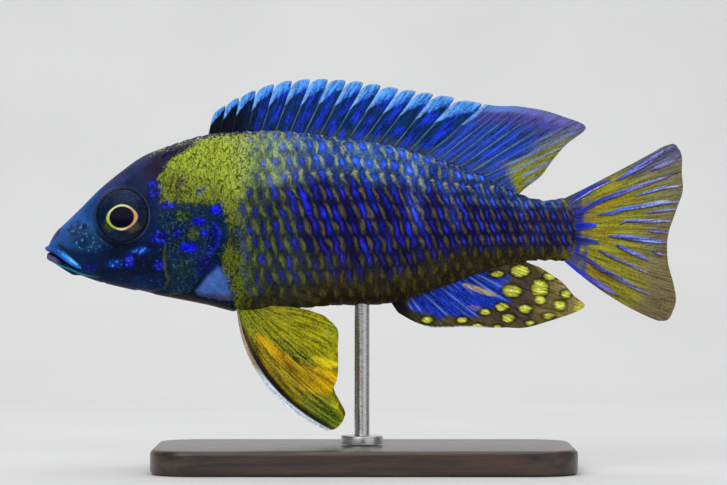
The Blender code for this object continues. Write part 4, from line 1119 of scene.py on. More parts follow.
def paint_soft_dorsal(u, v, share, soft, ground, glow):
    """Blue streaks between pale rays, a lilac to sky-blue edge, and the olive rear with pale spots."""
    from_ray = u - np.round(u)
    streak = step(0.12, 0.3, np.abs(from_ray)) * soft
    ground.lay(soft, "1A3C7A")
    fine_ray = ridge(2 * u - np.round(2 * u), 0.11)
    ground.lay(0.6 * soft * fine_ray * band(0.05, 1.05, 0.1, share), "7C98C8")
    glow.lay(streak * step(0.95, 0.55, share), "2444D0", 0.9)
    ground.lay(soft * step(0.60, 0.92, share) * step(21.0, 19.0, u), "50487C")
    glow.lay(soft * step(0.7, 0.95, share), "5450B8", 0.6)
    top = soft * step(0.86, 0.96, share) * step(20.6, 18.0, u)
    ground.lay(0.8 * top, "8490C8")
    ground.lay(top * step(18.0, 16.0, u), "62A0E8")
    uneven = u + 0.5 * mottle(0.8 * u, 4 * v, 1.0, 35)
    olive = step(18.6, 20.4, uneven + 1.2 * share) * step(0.18, 0.34, share) * step(19.2, 21.0, uneven)
    ground.lay(olive, "85862A")
    glow.lay(olive, "85862A", 0.0)
    pale = ridge(from_ray, 0.16) * olive * step(21.8, 20.6, u)
    ground.lay(0.9 * pale, "7E94DC")
    for ray, start, end in ((22.0, 0.45, 0.95), (23.0, 0.5, 1.0)):
        ground.lay(ridge(u - ray, 0.17) * band(start, end, 0.04, share), "7E90D0")


def paint_lappets(x, z, v, offset, spiny, ground, glow):
    """Sky-blue lappets with a pale free edge, a painted highlight along the spine and over that edge, and
    dark in front of the next one.
    """
    above = 0.37 - 0.27 * np.clip(offset, 0, 1) - (1 - v) + 0.02 * mottle(x, z, 0.8, 33)
    lappet = spiny * step(-0.025, 0.03, above)
    ground.lay(lappet, "2464D8")
    ground.lay(lappet * step(0.05, 0.15, above), "489AEE")
    glow.lay(lappet, "5CA0F4", 0.5)
    # the lappet's own pale free edge, with a painted highlight over it and along the spine
    light = np.maximum(step(0.04, 0.0, 1 - v), ridge(offset - 0.03, 0.07))
    ground.lay(0.7 * lappet * light, "B4D4F4")
    ground.lay(0.8 * spiny * step(0.80, 0.86, offset), "0A2444")


def paint_dorsal(x, z, u, v):
    """Cobalt patches between dark teal rays, sky-blue lappets, and an olive rear."""
    ground, glow = Paint(len(x), "0C3060"), Paint(len(x), "1830CC", 0.0)
    spiny = step(15.3, 14.8, u)
    offset, share = spine_offset(u), dorsal_share(u, v)
    patch = band(0.30, 0.82, 0.10, offset - 0.12 * (share - 0.5))
    breaks = mottle(u * 1.3, share * 6, 1.0, 31)
    glow.lay(spiny * patch * step(-0.7, 0.2, breaks) * step(2.0, 5.0, u), "1A34D0", 1.0)
    ground.lay(spiny * step(4.5, 2.0, u), "0A101C")
    ground.lay(spiny * 0.5 * ridge(offset + 0.01, 0.035) * step(0.80, 0.4, share) * step(2, 5, u), "7098B0")
    paint_soft_dorsal(u, v, share, 1 - spiny, ground, glow)
    paint_lappets(x, z, v, offset, spiny, ground, glow)
    foot = step(0.26, 0.12, share) * step(5.0, 9.0, u)
    ground.lay(0.5 * foot, "4A5A5E")
    return {"Ground": ground.rgba(), "Glow": glow.rgba()}


def paint_egg_spots(x, z, ground, glow):
    """Yellow spots, ringed in dark brown and finely cracked."""
    uneven = 0.12 * mottle(x, z, 0.6, 45)
    cracks = step(0.55, 0.95, np.sin((z + 0.3 * x + 0.3 * mottle(x, z, 2.0, 47)) * math.tau / 0.62))
    for mark in EGG_SPOTS:
        distance = spot(mark, x, z) + uneven
        reach = min(mark[2:])
        ring = step(1 + 0.55 / reach, 1 + 0.2 / reach, distance)
        ground.lay(0.75 * ring, "1E1C10")
        glow.lay(ring, "1E1C10", 0.0)
        egg = step(1.1, 0.85, distance)
        ground.lay(egg, "A8AC2C")
        ground.lay(egg * step(0.95, 0.4, distance), "E4E860")
        ground.lay(0.6 * egg * cracks, "3C3C14")


def paint_anal(x, z, u, v):
    """A black front lobe, a cobalt middle and a brown rear with ringed yellow egg spots."""
    ground, glow = Paint(len(x), "54482E"), Paint(len(x), "1830D0", 0.0)
    ground.lay(step(0.55, 0.95, v) * step(6.5, 8.5, u), "97894E")
    ground.lay(band(25.5, 33.5, 1.0, x) * band(29.5, 38.5, 1.0, z), "4A4034")
    blue = step(-0.6, 0.6, inside(ANAL_BLUE, x, z) + 0.5 * mottle(x, z, 1.4, 41))
    ground.lay(blue, "142C74")
    glow.lay(blue, "1C3CD0", 0.85)
    front = step(1.7, 0.9, u)
    ground.lay(front, "121418")
    glow.lay(front, "121418", 0.0)
    ground.lay(band(0.9, 2.2, 0.4, u) * step(0.5, 0.8, v), "3C3E22")
    fine_ray = ridge(2 * u - np.round(2 * u), 0.12) * step(-0.3, 0.3, mottle(u * 2, v * 2, 1.0, 43))
    ground.lay(0.6 * blue * fine_ray, "A0B8E0")
    glow.lay(0.7 * blue * fine_ray, "6C90EC")
    for streak in ANAL_STREAKS:
        ground.stroke(x, z, *streak)
        glow.stroke(x, z, *streak)
    paint_egg_spots(x, z, ground, glow)
    edge = step(0.955, 0.985, v) * band(1.4, 4.2, 0.4, u)
    ground.lay(edge, "C8CCC0")
    tip = step(1.3, 0.6, spot((44.0, 32.5, 2.2, 1.4), x, z))
    ground.lay(0.8 * tip, "C9C24E")
    return {"Ground": ground.rgba(), "Glow": glow.rgba()}


def paint_caudal(x, z, u, v):
    """Olive-ochre with cobalt to periwinkle streaks, a grey-violet top and a plain brown margin."""
    ground, glow = Paint(len(x), "94902E"), Paint(len(x), "3048D8", 0.0)
    ground.lay(0.8 * step(0.0, 0.6, mottle(u * 0.8, v * 3, 1.0, 51)) * step(0.65, 0.3, v), "A87E12")
    ground.lay(step(0.55, 0.95, v), "7C7458")
    ground.lay(0.4 * step(0.16, 0.42, np.abs(u - np.round(u))), "66641C")
    ground.lay(step(0.95, 0.55, v) * step(12.0, 15.0, u) * 0.5, "6E6A24")
    margin = step(0.90 - 0.035 * np.clip(u - 7, 0, 8), 1.02 - 0.035 * np.clip(u - 7, 0, 8), v)
    ground.lay(margin * step(6.0, 8.0, u), "766A4A")
    top = step(2.4, 1.2, u) * step(0.45, 0.75, v)
    ground.lay(top, "62607E")
    ground.lay(step(0.5, 0.1, u) * step(0.1, 0.3, v), "59645E")
    root = step(0.27, 0.13, v + 0.05 * mottle(x, z, 1.0, 55))
    ground.lay(0.85 * root, "4C4A18")
    ground.lay(0.85 * root * band(3.0, 12.0, 1.5, u), "1A1840")
    glow.lay(root, "2038C8", 0.5)
    for points, half_width, first, last in CAUDAL_STREAKS:
        outline = [(px - 0.1, pz - 0.25) for px, pz in points]
        ground.stroke(x, z, outline, 1.1 * half_width, "30320E", "3E3A28", amount=0.7, taper=0.9)
    for points, half_width, first, last in CAUDAL_STREAKS:
        ground.stroke(x, z, points, 0.8 * half_width, first, last, amount=0.62, taper=0.9)
        glow.stroke(x, z, points, 0.8 * half_width, first, last, 1.0, taper=0.9)
    glow.lay(0.45 * step(0.25, 0.7, v), "A4B0DC")
    return {"Ground": ground.rgba(), "Glow": glow.rgba()}


def paint_pelvic(x, z, u, v):
    """Yellow-olive with orange, brown and green streaks, and a pale edge in front of a dark line."""
    ground, glow = Paint(len(x), "86840E"), Paint(len(x), "C8C020", 0.35)
    ground.lay(step(-16.0, -23.0, x), "5E6E1E")
    ground.lay(0.5 * step(0.1, 0.6, mottle(x, z, 1.5, 61)), "6C6A14")
    ground.lay(0.7 * step(1.4, 0.7, spot((-6.6, 28.6, 1.6, 2.0), x, z)), "6E8420")
    for streak in PELVIC_STREAKS:
        ground.stroke(x, z, *streak)
    ground.lay(0.8 * ridge(u - 0.34, 0.12) * step(0.2, 0.5, v), "141008")
    edge = step(0.25, 0.17, u)
    ground.lay(edge, "DCE8F6")
    ground.lay(edge * step(0.50, 0.36, v), "B09C7C")
    glow.lay(step(0.9, 0.3, u), "C8C020", 0.0)
    return {"Ground": ground.rgba(), "Glow": glow.rgba()}


def paint_pectoral(x, z, u, v):
    """Nearly clear, with faint olive rays."""
    ground = Paint(len(x), "5A5A40", 0.03)
    ground.lay(ray_ridges(u, v), "6A6A40", 0.11)
    ground.lay(step(0.16, 0.0, v), "5A6234", 0.4)
    return {"Ground": ground.rgba(), "Glow": Paint(len(x), "6A6A40", 0.0).rgba()}


def make_fins(finishes):
    """Each fin as a thin membrane with its rays raised on both faces."""
    lappet_columns = [spine + offset for spine in range(DORSAL_SPINES) for offset, _ in LAPPET]
    soft_columns = columns_over(DORSAL_RAYS, 16, DORSAL_SPINES)
    dorsal_columns = np.concatenate([lappet_columns, [SOFT_FROM], soft_columns])
    fins = [  # name, side, finish, surface, columns, rows, thickness, paint
        ("dorsal", "", "blue", dorsal_point, dorsal_columns, 68, dorsal_thickness, paint_dorsal),
        ("anal", "", "blue", anal_point, columns_over(ANAL_RAYS, 16), 84, soft_thickness, paint_anal),
        ("caudal", "", "olive", caudal_point, columns_over(CAUDAL_RAYS, 16), 110, soft_thickness,
         paint_caudal),
    ]
    for end, side, rays in (("_left", -1, PELVIC_LEFT), ("_right", 1, PELVIC_RIGHT)):
        fins += [
            ("pelvic", end, "olive", pelvic_point(rays, side), columns_over(rays, 24), 110, soft_thickness,
             paint_pelvic),
            ("pectoral", end, "clear", pectoral_point(side), columns_over(PECTORAL_FAN, 14), 80,
             soft_thickness, paint_pectoral),
        ]
    for name, end, tone, surface, columns, rows, thickness, paint in fins:
        fin = fin_sheet(f"{name}_membrane{end}", surface, columns, np.linspace(0, 1, rows), thickness,
                        paint, finishes[tone])
        place(fin, f"{tone}_fin", f"{name}_fin{end}")


def eye_directions(side):
    """The middle of an eyeball, and the ways back, up and outwards from it."""

    def flank(along=0.0, up=0.0):
        return float(side_y(np.array(EYE_X + along), EYE_Z + up))

    gap = 0.4
    slope_x = (flank(along=gap) - flank(along=-gap)) / (2 * gap)
    slope_z = (flank(up=gap) - flank(up=-gap)) / (2 * gap)
    outward = unit(np.array([-slope_x, side, -slope_z]))
    middle = np.array([EYE_X, side * flank(), EYE_Z]) - outward * EYE_SUNK
    back = unit(np.array([1.0, 0, 0]) - outward * outward[0])
    top = unit(np.array([0, 0, 1.0]) - outward * outward[2] - back * back[2])
    return middle, np.array([back, top, outward])


def paint_eye(across, up):
    """A slate iris, olive and brown below, and the ring's gold, from yellow-green to copper."""
    iris = Paint(len(across), "0A1C36")
    iris.lay(0.7 * step(1.6, 0.5, spot((2.3, -2.6, 1.5, 1.0), across, up)), "50482C")
    iris.lay(0.7 * step(1.6, 0.5, spot((-2.4, -2.0, 1.1, 1.2), across, up)), "3C4C24")
    iris.lay(0.7 * step(1.5, 4.0, up), "22304C")
    iris.lay(step(4.3, 5.0, np.hypot(across, up)), "141E30")
    ring = Paint(len(across), "E0E0A0")
    ring.lay(step(0.3, -1.0, across + 0.6 * up + 2.0), "B4C444")
    ring.lay(step(1.2, 2.4, across - 0.2 * up), "D8A070")
    return {"Ground": iris.rgba(), "Ring": ring.rgba()}


def make_eyes(finish):
    """Each eyeball, set in its socket square to the head."""
    polar = np.linspace(0.02, math.pi - 0.02, EYE_RINGS)[:, None]
    turn = np.arange(EYE_SIDES) / EYE_SIDES * math.tau
    reach = EYE_RADIUS * np.sin(polar)
    disc = stack(reach * np.cos(turn), reach * np.sin(turn), EYE_DEPTH * np.cos(polar)).reshape(-1, 3)
    front_pole, rear_pole = len(disc), len(disc) + 1
    disc = np.concatenate([disc, [[0, 0, EYE_DEPTH], [0, 0, -EYE_DEPTH]]])
    i, j = grid_cells(EYE_RINGS, EYE_SIDES, closed=True)
    quads = i * EYE_SIDES + j % EYE_SIDES
    k = np.arange(EYE_SIDES)
    following, last = (k + 1) % EYE_SIDES, (EYE_RINGS - 1) * EYE_SIDES
    front = np.stack([np.full(EYE_SIDES, front_pole), k, following], 1)
    rear = np.stack([np.full(EYE_SIDES, rear_pole), last + following, last + k], 1)
    ends = np.concatenate([front, rear])
    for name, side in (("left", -1), ("right", 1)):
        middle, ways = eye_directions(side)
        faces = [quads, ends[:, ::-1]] if side < 0 else [quads[:, ::-1], ends]
        eye = new_piece(f"eyeball_{name}", middle + disc @ ways, sum((f.tolist() for f in faces), []), finish)
        store(eye, {"Disc": disc, **paint_eye(disc[:, 0], disc[:, 1])})
        place(eye, "eye", f"eye_{name}")


def new_material(name):
    """A new material, its node tree and its shader."""
    made = bpy.data.materials.new(name)
    made.use_nodes = True
    return made, made.node_tree, made.node_tree.nodes["Principled BSDF"]


def per_metre(size):
    """A texture's scale for features of that many mm."""
    return 1 / (size * MM)


def cell_distance(tree, column, row, half_width, half_height, slant, shift):
    """Distance from the middle of one slanting mark on every scale, 1 on its outline."""
    distances = []
    for stagger in (0, 1):
        from_column = add(tree, MATH, {0: column, 1: 0.5 * stagger + shift}, operation="SUBTRACT")
        from_row = add(tree, MATH, {0: row, 1: float(stagger)}, operation="SUBTRACT")
        du = add(tree, MATH, {0: from_column, 1: 0.5, 2: -0.5}, operation="WRAP")
        dv = add(tree, MATH, {0: from_row, 1: 1.0, 2: -1.0}, operation="WRAP")
        leaned = add(tree, MATH, {0: dv, 1: slant, 2: du}, operation="MULTIPLY_ADD")
        wide = add(tree, MATH, {0: leaned, 1: half_width}, operation="DIVIDE")
        tall = add(tree, MATH, {0: dv, 1: half_height}, operation="DIVIDE")
        both = add(tree, COMBINE, {0: wide, 1: tall})
        distances.append(add(tree, VECTOR_MATH, {0: both}, output="Value", operation="LENGTH"))
    return add(tree, MATH, {0: distances[0], 1: distances[1]}, operation="MINIMUM")


def layer_amount(tree, even_mask, noise, strength, loose):
    """How much of a layer shows: one mark to a scale, or flecks where the noise and strength are high."""
    even = add(tree, MATH, {0: even_mask, 1: strength}, operation="MULTIPLY")
    lifted = add(tree, MATH, {0: strength, 1: 0.55, 2: noise}, operation="MULTIPLY_ADD")
    strewn = add(tree, RANGE, {0: lifted, 1: FLECKS_FROM, 2: FLECKS_WHOLE})
    return add(tree, MIX, {0: loose, 2: even, 3: strewn}, data_type="FLOAT")


def scale_marks(tree, column, row, along_fish, per_scale):
    """Distances from each scale's blue and olive marks, 1 on their outlines, and the marks' slant.

    Below the lateral line the marks are tall and slanting strokes, and above it they are rounder."""
    upper_from, upper_whole = UPPER_ROWS
    low_slant = add(tree, RANGE, {0: row, 1: -3.0, 2: 2.0, 3: 0.15, 4: 0.58})
    upper_slant = add(tree, RANGE, {0: row, 1: upper_from, 2: upper_whole, 3: 1.0, 4: 0.35})
    row_slant = add(tree, MATH, {0: low_slant, 1: upper_slant}, operation="MULTIPLY")
    upright = add(tree, RANGE, {0: along_fish, 1: -24 * MM, 2: -14 * MM, 3: 0.25, 4: 1.0})
    slant = add(tree, MATH, {0: row_slant, 1: upright}, operation="MULTIPLY")
    front_size = add(tree, RANGE, {0: along_fish, 1: -24 * MM, 2: -12 * MM, 3: 0.72, 4: 1.0})
    rear_size = add(tree, RANGE, {0: along_fish, 1: 12 * MM, 2: 30 * MM, 3: 1.0, 4: 0.72})
    mark_size = add(tree, MATH, {0: front_size, 1: rear_size}, operation="MULTIPLY")
    spread = add(tree, RANGE, {0: per_scale, 1: 0.3, 2: 0.7, 3: 0.78, 4: 1.25})
    sized = add(tree, MATH, {0: mark_size, 1: spread}, operation="MULTIPLY")
    half_width, half_height = (
        add(tree, RANGE, {0: row, 1: upper_from, 2: upper_whole, 3: low, 4: high})
        for low, high in ((0.21, 0.27), (0.60, 0.42))
    )
    blue_at = cell_distance(tree, column, row, half_width, half_height, slant, 0.0)
    blue_at = add(tree, MATH, {0: blue_at, 1: sized}, operation="DIVIDE")
    return blue_at, cell_distance(tree, column, row, 0.19, 0.45, slant, 0.5), slant


def olive_shades(tree, where, fine, fine_light, loose):
    """Light and dark of the olive grains, with wandering dark veins where they lie loose."""
    upward = add(tree, VECTOR_MATH, {0: where, 1: (1.7, 1.0, 0.8)}, operation="MULTIPLY")
    winding = add(tree, NOISE, {"Vector": upward, "Scale": per_metre(1.5), "Detail": 2.0, "Distortion": 0.7})
    off_vein = add(tree, MATH, {0: winding, 1: 0.5}, operation="SUBTRACT")
    from_vein = add(tree, MATH, {0: off_vein}, operation="ABSOLUTE")
    between_veins = add(tree, RANGE, {0: from_vein, 1: 0.005, 2: 0.06, 3: 0.22, 4: 1.1})
    speckled = add(tree, RANGE, {0: fine, 1: 0.36, 2: 0.64, 3: 0.62, 4: 1.42})
    veined = add(tree, MATH, {0: between_veins, 1: speckled}, operation="MULTIPLY")
    return add(tree, MIX, {0: loose, 2: fine_light, 3: veined}, data_type="FLOAT")


def blue_shades(tree, blue_at, per_scale, broad_light, fine_light, loose):
    """Light and dark of the blue marks: brightest in their middles, and uneven from scale to scale."""
    core = add(tree, RANGE, {0: blue_at, 1: 0.1, 2: 1.0, 3: 1.4, 4: 0.28})
    mark_light = add(tree, RANGE, {0: per_scale, 1: 0.35, 2: 0.65, 3: 0.5, 4: 1.35})
    shaded = add(tree, MATH, {0: mark_light, 1: broad_light}, operation="MULTIPLY")
    even_light = add(tree, MATH, {0: core, 1: shaded}, operation="MULTIPLY")
    inner_light = add(tree, MIX, {0: loose, 2: even_light, 3: 1.0}, data_type="FLOAT")
    return add(tree, MATH, {0: inner_light, 1: fine_light}, operation="MULTIPLY")


def lateral_line(tree, row, olive_at, strength):
    """How much of the pale lateral line shows: a dash to each scale of one row."""
    off_line = add(tree, MATH, {0: row, 1: LATERAL_ROW}, operation="SUBTRACT")
    from_line = add(tree, MATH, {0: off_line}, operation="ABSOLUTE")
    line_mask = add(tree, RANGE, {0: from_line, 1: 0.02, 2: 0.10, 3: 0.75, 4: 0.0})
    dashes = add(tree, RANGE, {0: olive_at, 1: 0.7, 2: 1.5, 3: 1.0, 4: 0.0})
    dashed = add(tree, MATH, {0: line_mask, 1: dashes}, operation="MULTIPLY")
    return add(tree, MATH, {0: dashed, 1: strength}, operation="MULTIPLY")


def bent_lattice(tree, where):
    """The scale lattice, bent a little so that no two marks have the same outline."""
    lattice = add(tree, ATTRIBUTE, output="Vector", attribute_name="Lattice")
    wobble = add(tree, NOISE, {"Vector": where, "Scale": per_metre(2.4), "Detail": 1.0}, output="Color")
    centred = add(tree, VECTOR_MATH, {0: wobble, 1: (0.5, 0.5, 0.5)}, operation="SUBTRACT")
    bent = add(tree, VECTOR_MATH, {0: centred, 1: (0.6, 0.8, 0.0)}, operation="MULTIPLY")
    return lattice, add(tree, VECTOR_MATH, {0: lattice, 1: bent}, operation="ADD")


def skin_noises(tree, where, column, row, slant):
    """Streaks that lean with the marks, and fine, fleck-sized and broad noise."""
    leaned = add(tree, MATH, {0: row, 1: slant, 2: column}, operation="MULTIPLY_ADD")
    grain_way = add(tree, COMBINE, {0: leaned, 1: row})
    drawn = add(tree, VECTOR_MATH, {0: grain_way, 1: (7.0, 1.6, 1.0)}, operation="MULTIPLY")
    noises = [add(tree, NOISE, {"Vector": drawn, "Scale": 1.0, "Detail": 3.0, "Roughness": 0.6})]
    for size, detail, rough in ((0.5, 3.0, 0.65), (0.7, 2.0, 0.6), (4.0, 2.0, 0.5)):
        texture = {"Vector": where, "Scale": per_metre(size), "Detail": detail, "Roughness": rough}
        noises.append(add(tree, NOISE, texture))
    return noises


def ground_shades(tree, streaks, fine, broad, loose, calm):
    """Fine and broad light and dark, and the two together for the ground, milder where it is calm."""
    woven = add(tree, MIX, {0: 0.5, 2: streaks, 3: fine}, data_type="FLOAT")
    texture = add(tree, MIX, {0: loose, 2: woven, 3: fine}, data_type="FLOAT")
    fine_light = add(tree, RANGE, {0: texture, 1: 0.38, 2: 0.62, 3: 0.35, 4: 1.75})
    broad_light = add(tree, RANGE, {0: broad, 1: 0.35, 2: 0.65, 3: 0.70, 4: 1.35})
    calm_light = add(tree, RANGE, {0: fine, 1: 0.38, 2: 0.62, 3: 0.82, 4: 1.18})
    ground_light = add(tree, MIX, {0: calm, 2: fine_light, 3: calm_light}, data_type="FLOAT")
    return fine_light, broad_light, add(tree, MATH, {0: ground_light, 1: broad_light}, operation="MULTIPLY")


def scaled_skin():
    """Wet scaled fish skin, its pigment in grains under thin slime."""
    # It gives soft broken highlights over grainy colour, with one blue and one olive mark to a scale.
    # Real pigment cells are finer than these grains, which are drawn coarse enough to show.
    made, tree, shader = new_material("wet scaled skin")
    where = add(tree, "ShaderNodeTexCoord", output="Object")
    lattice, bent = bent_lattice(tree, where)
    column, row, _ = add(tree, SEPARATE, {0: bent}).node.outputs
    along_fish = add(tree, SEPARATE, {0: where})
    per_scale = add(tree, NOISE, {"Vector": lattice, "Scale": 0.9, "Detail": 0.0})
    blue_at, olive_at, slant = scale_marks(tree, column, row, along_fish, per_scale)
    streaks, fine, flecks, broad = skin_noises(tree, where, column, row, slant)
    ground, grains, marks, pattern = (
        add(tree, ATTRIBUTE, attribute_name=name).node.outputs
        for name in ("Ground", "Grains", "Marks", "Pattern")
    )
    loose, line_strength, calm = add(tree, SEPARATE, {0: pattern["Vector"]}).node.outputs
    fine_light, broad_light, light = ground_shades(tree, streaks, fine, broad, loose, calm)
    layers = (  # attribute, distance from its mark, mark's core and rim, noise of its flecks, light
        (grains, olive_at, 0.20, 1.35, fine, olive_shades(tree, where, fine, fine_light, loose)),
        (marks, blue_at, 0.45, 1.3, flecks,
         blue_shades(tree, blue_at, per_scale, broad_light, fine_light, loose)),
    )
    colour = add(tree, VECTOR_MATH, {0: ground["Color"], 3: light}, operation="SCALE")
    for layer, distance, core, rim, noise, shade in layers:
        mask = add(tree, RANGE, {0: distance, 1: core, 2: rim, 3: 1.0, 4: 0.0},
                   interpolation_type="SMOOTHSTEP")
        amount = layer_amount(tree, mask, noise, layer["Alpha"], loose)
        tone = add(tree, VECTOR_MATH, {0: layer["Color"], 3: shade}, operation="SCALE")
        colour = add(tree, MIX, {0: amount, COLOUR_A: colour, COLOUR_B: tone}, output=COLOUR_OUT,
                     data_type="RGBA")
    line_amount = lateral_line(tree, row, olive_at, line_strength)
    pale = (*linear_colour("A8A070"), 1)
    coloured = add(tree, MIX, {0: line_amount, COLOUR_A: colour, COLOUR_B: pale}, output=COLOUR_OUT,
                   data_type="RGBA")
    rough = add(tree, RANGE, {0: fine, 1: 0.3, 2: 0.7, 3: 0.36, 4: 0.52})
    bump = add(tree, BUMP, {"Strength": 0.25, "Distance": 0.1 * MM, "Height": fine})
    fill(tree, shader, {"Base Color": coloured, "Roughness": rough, "Normal": bump, "IOR": 1.36,
                        "Specular IOR Level": 0.07, "Coat Weight": 0.05, "Coat Roughness": 0.16})
    return made


def membrane(name, rib_depth, clear=False):
    """Fin membrane: thin skin stretched between rays, its pigment drawn out along them."""
    # It gives fine streaks along the rays and a satin sheen, and where it is clear the flank shows through.
    # Its pigment is finer in life too, and its grains are drawn coarse enough to show.
    made, tree, shader = new_material(name)
    where = add(tree, "ShaderNodeTexCoord", output="Object")
    rays = add(tree, ATTRIBUTE, output="Vector", attribute_name="Rays")
    ground, glow = (add(tree, ATTRIBUTE, attribute_name=layer).node.outputs for layer in ("Ground", "Glow"))
    stretched = add(tree, VECTOR_MATH, {0: rays, 1: (6.5, 4.0, 1.0)}, operation="MULTIPLY")
    streaks = add(tree, NOISE, {"Vector": stretched, "Scale": 1.0, "Detail": 3.0, "Roughness": 0.6})
    grains = add(tree, NOISE, {"Vector": where, "Scale": per_metre(0.4), "Detail": 2.0, "Roughness": 0.6})
    strong = add(tree, MATH, {0: streaks, 1: 1.6, 2: -0.6}, operation="MULTIPLY_ADD")
    half = add(tree, MATH, {0: grains, 1: 0.8, 2: 0.4}, operation="MULTIPLY_ADD")
    both = add(tree, MATH, {0: strong, 1: half}, operation="ADD")
    glow_mask = add(tree, RANGE, {0: both, 1: 0.80, 2: 1.12, 3: 0.0, 4: 1.0})
    glow_amount = add(tree, MATH, {0: glow_mask, 1: glow["Alpha"]}, operation="MULTIPLY")
    mixed = add(tree, MIX, {0: glow_amount, COLOUR_A: ground["Color"], COLOUR_B: glow["Color"]},
                output=COLOUR_OUT, data_type="RGBA")
    light = add(tree, RANGE, {0: both, 1: 0.75, 2: 1.25, 3: 0.5, 4: 1.5})
    coloured = add(tree, VECTOR_MATH, {0: mixed, 3: light}, operation="SCALE")
    rough = add(tree, RANGE, {0: grains, 1: 0.3, 2: 0.7, 3: 0.38, 4: 0.55})
    bump = add(tree, BUMP, {"Strength": rib_depth, "Distance": 0.1 * MM, "Height": streaks})
    fill(tree, shader, {"Base Color": coloured, "Roughness": rough, "Normal": bump, "IOR": 1.36,
                        "Specular IOR Level": 0.1})
    if clear:
        fill(tree, shader, {"Alpha": ground["Alpha"]})
    return made


def oval_distance(tree, size, reach, power):
    """Distance from the middle of an oval, 1 on its outline; a power below 2 points its ends."""
    powers = []
    for way, half in zip(add(tree, SEPARATE, {0: size}).node.outputs, reach):
        share = add(tree, MATH, {0: way, 1: half}, operation="DIVIDE")
        powers.append(add(tree, MATH, {0: share, 1: power}, operation="POWER"))
    total = add(tree, MATH, {0: powers[0], 1: powers[1]}, operation="ADD")
    return add(tree, MATH, {0: total, 1: 1 / power}, operation="POWER")


def eye_gloss():
    """A wet cornea over a near-black iris, with a thin golden ring round the pupil."""
    # It gives one small soft highlight, and the ring stands out from the dark round it.
    made, tree, shader = new_material("wet cornea")
    disc = add(tree, ATTRIBUTE, output="Vector", attribute_name="Disc")
    centred = add(tree, VECTOR_MATH, {0: disc, 1: (*RING_MIDDLE, 0.0)}, operation="SUBTRACT")
    size = add(tree, VECTOR_MATH, {0: centred}, operation="ABSOLUTE")
    to_pupil = oval_distance(tree, size, PUPIL_REACH, 2.0)
    to_rim = oval_distance(tree, size, RING_REACH, 1.7)
    where = add(tree, "ShaderNodeTexCoord", output="Object")
    flecks = add(tree, NOISE, {"Vector": where, "Scale": per_metre(0.5), "Detail": 3.0})
    flecked = add(tree, RANGE, {0: flecks, 1: 0.35, 2: 0.65, 3: 0.6, 4: 1.5})
    ground = add(tree, ATTRIBUTE, attribute_name="Ground")
    iris = add(tree, VECTOR_MATH, {0: ground, 3: flecked}, operation="SCALE")
    pupil_mask = add(tree, RANGE, {0: to_pupil, 1: 0.95, 2: 1.03, 3: 1.0, 4: 0.0})
    pupil = (*linear_colour("01021C"), 1)
    within_rim = add(tree, RANGE, {0: to_rim, 1: 0.97, 2: 1.03, 3: 1.0, 4: 0.0})
    beyond_pupil = add(tree, MATH, {0: 1.0, 1: pupil_mask}, operation="SUBTRACT")
    ring_mask = add(tree, MATH, {0: within_rim, 1: beyond_pupil}, operation="MULTIPLY")
    dark = add(tree, MIX, {0: pupil_mask, COLOUR_A: iris, COLOUR_B: pupil}, output=COLOUR_OUT,
               data_type="RGBA")
    gold = add(tree, ATTRIBUTE, attribute_name="Ring")
    ringed = add(tree, MIX, {0: ring_mask, COLOUR_A: dark, COLOUR_B: gold}, output=COLOUR_OUT,
                 data_type="RGBA")
    fill(tree, shader, {"Base Color": ringed, "Roughness": 0.3, "Specular IOR Level": 0.04,
                        "Coat Weight": 0.05, "Coat Roughness": 0.06})
    return made


def lacquered_wood():
    """Dark stained walnut under satin lacquer."""
    # It gives long dark grain that shows softly through a smooth coat.
    made, tree, shader = new_material("stained walnut, satin lacquer")
    where = add(tree, "ShaderNodeTexCoord", output="Object")
    stretched = add(tree, VECTOR_MATH, {0: where, 1: (0.09, 1.0, 1.0)}, operation="MULTIPLY")
    grain = add(tree, NOISE, {"Vector": stretched, "Scale": per_metre(1.6), "Detail": 5.0, "Distortion": 0.6})
    pores = add(tree, NOISE, {"Vector": stretched, "Scale": per_metre(0.35), "Detail": 2.0})
    grain_mask = add(tree, RANGE, {0: grain, 1: 0.35, 2: 0.68, 3: 0.0, 4: 1.0})
    dark, light = (*linear_colour("1C120C"), 1), (*linear_colour("4A3020"), 1)
    tone = add(tree, MIX, {0: grain_mask, COLOUR_A: dark, COLOUR_B: light}, output=COLOUR_OUT,
               data_type="RGBA")
    pore_light = add(tree, RANGE, {0: pores, 1: 0.35, 2: 0.5, 3: 0.6, 4: 1.0})
    pored = add(tree, VECTOR_MATH, {0: tone, 3: pore_light}, operation="SCALE")
    rough = add(tree, RANGE, {0: pores, 1: 0.3, 2: 0.6, 3: 0.5, 4: 0.38})
    bump = add(tree, BUMP, {"Strength": 0.15, "Distance": 0.05 * MM, "Height": pores})
    fill(tree, shader, {"Base Color": pored, "Roughness": rough, "Normal": bump, "Coat Weight": 0.4,
                        "Coat Roughness": 0.2})
    return made


def turned_steel():
    """Turned stainless steel."""
    # Its fine rings round the rod stretch the grey highlight. Real ones are finer than these, which show.
    made, tree, shader = new_material("turned stainless steel")
    where = add(tree, "ShaderNodeTexCoord", output="Object")
    rings = add(tree, VECTOR_MATH, {0: where, 1: (0.15, 0.15, 1.0)}, operation="MULTIPLY")
    lines = add(tree, NOISE, {"Vector": rings, "Scale": per_metre(0.18), "Detail": 2.0})
    tone = add(tree, RANGE, {0: lines, 1: 0.3, 2: 0.7, 3: 0.42, 4: 0.62})
    grey = add(tree, COMBINE, {0: tone, 1: tone, 2: tone})
    rough = add(tree, RANGE, {0: lines, 1: 0.3, 2: 0.7, 3: 0.24, 4: 0.38})
    fill(tree, shader, {"Base Color": grey, "Roughness": rough, "Metallic": 1.0})
    return made


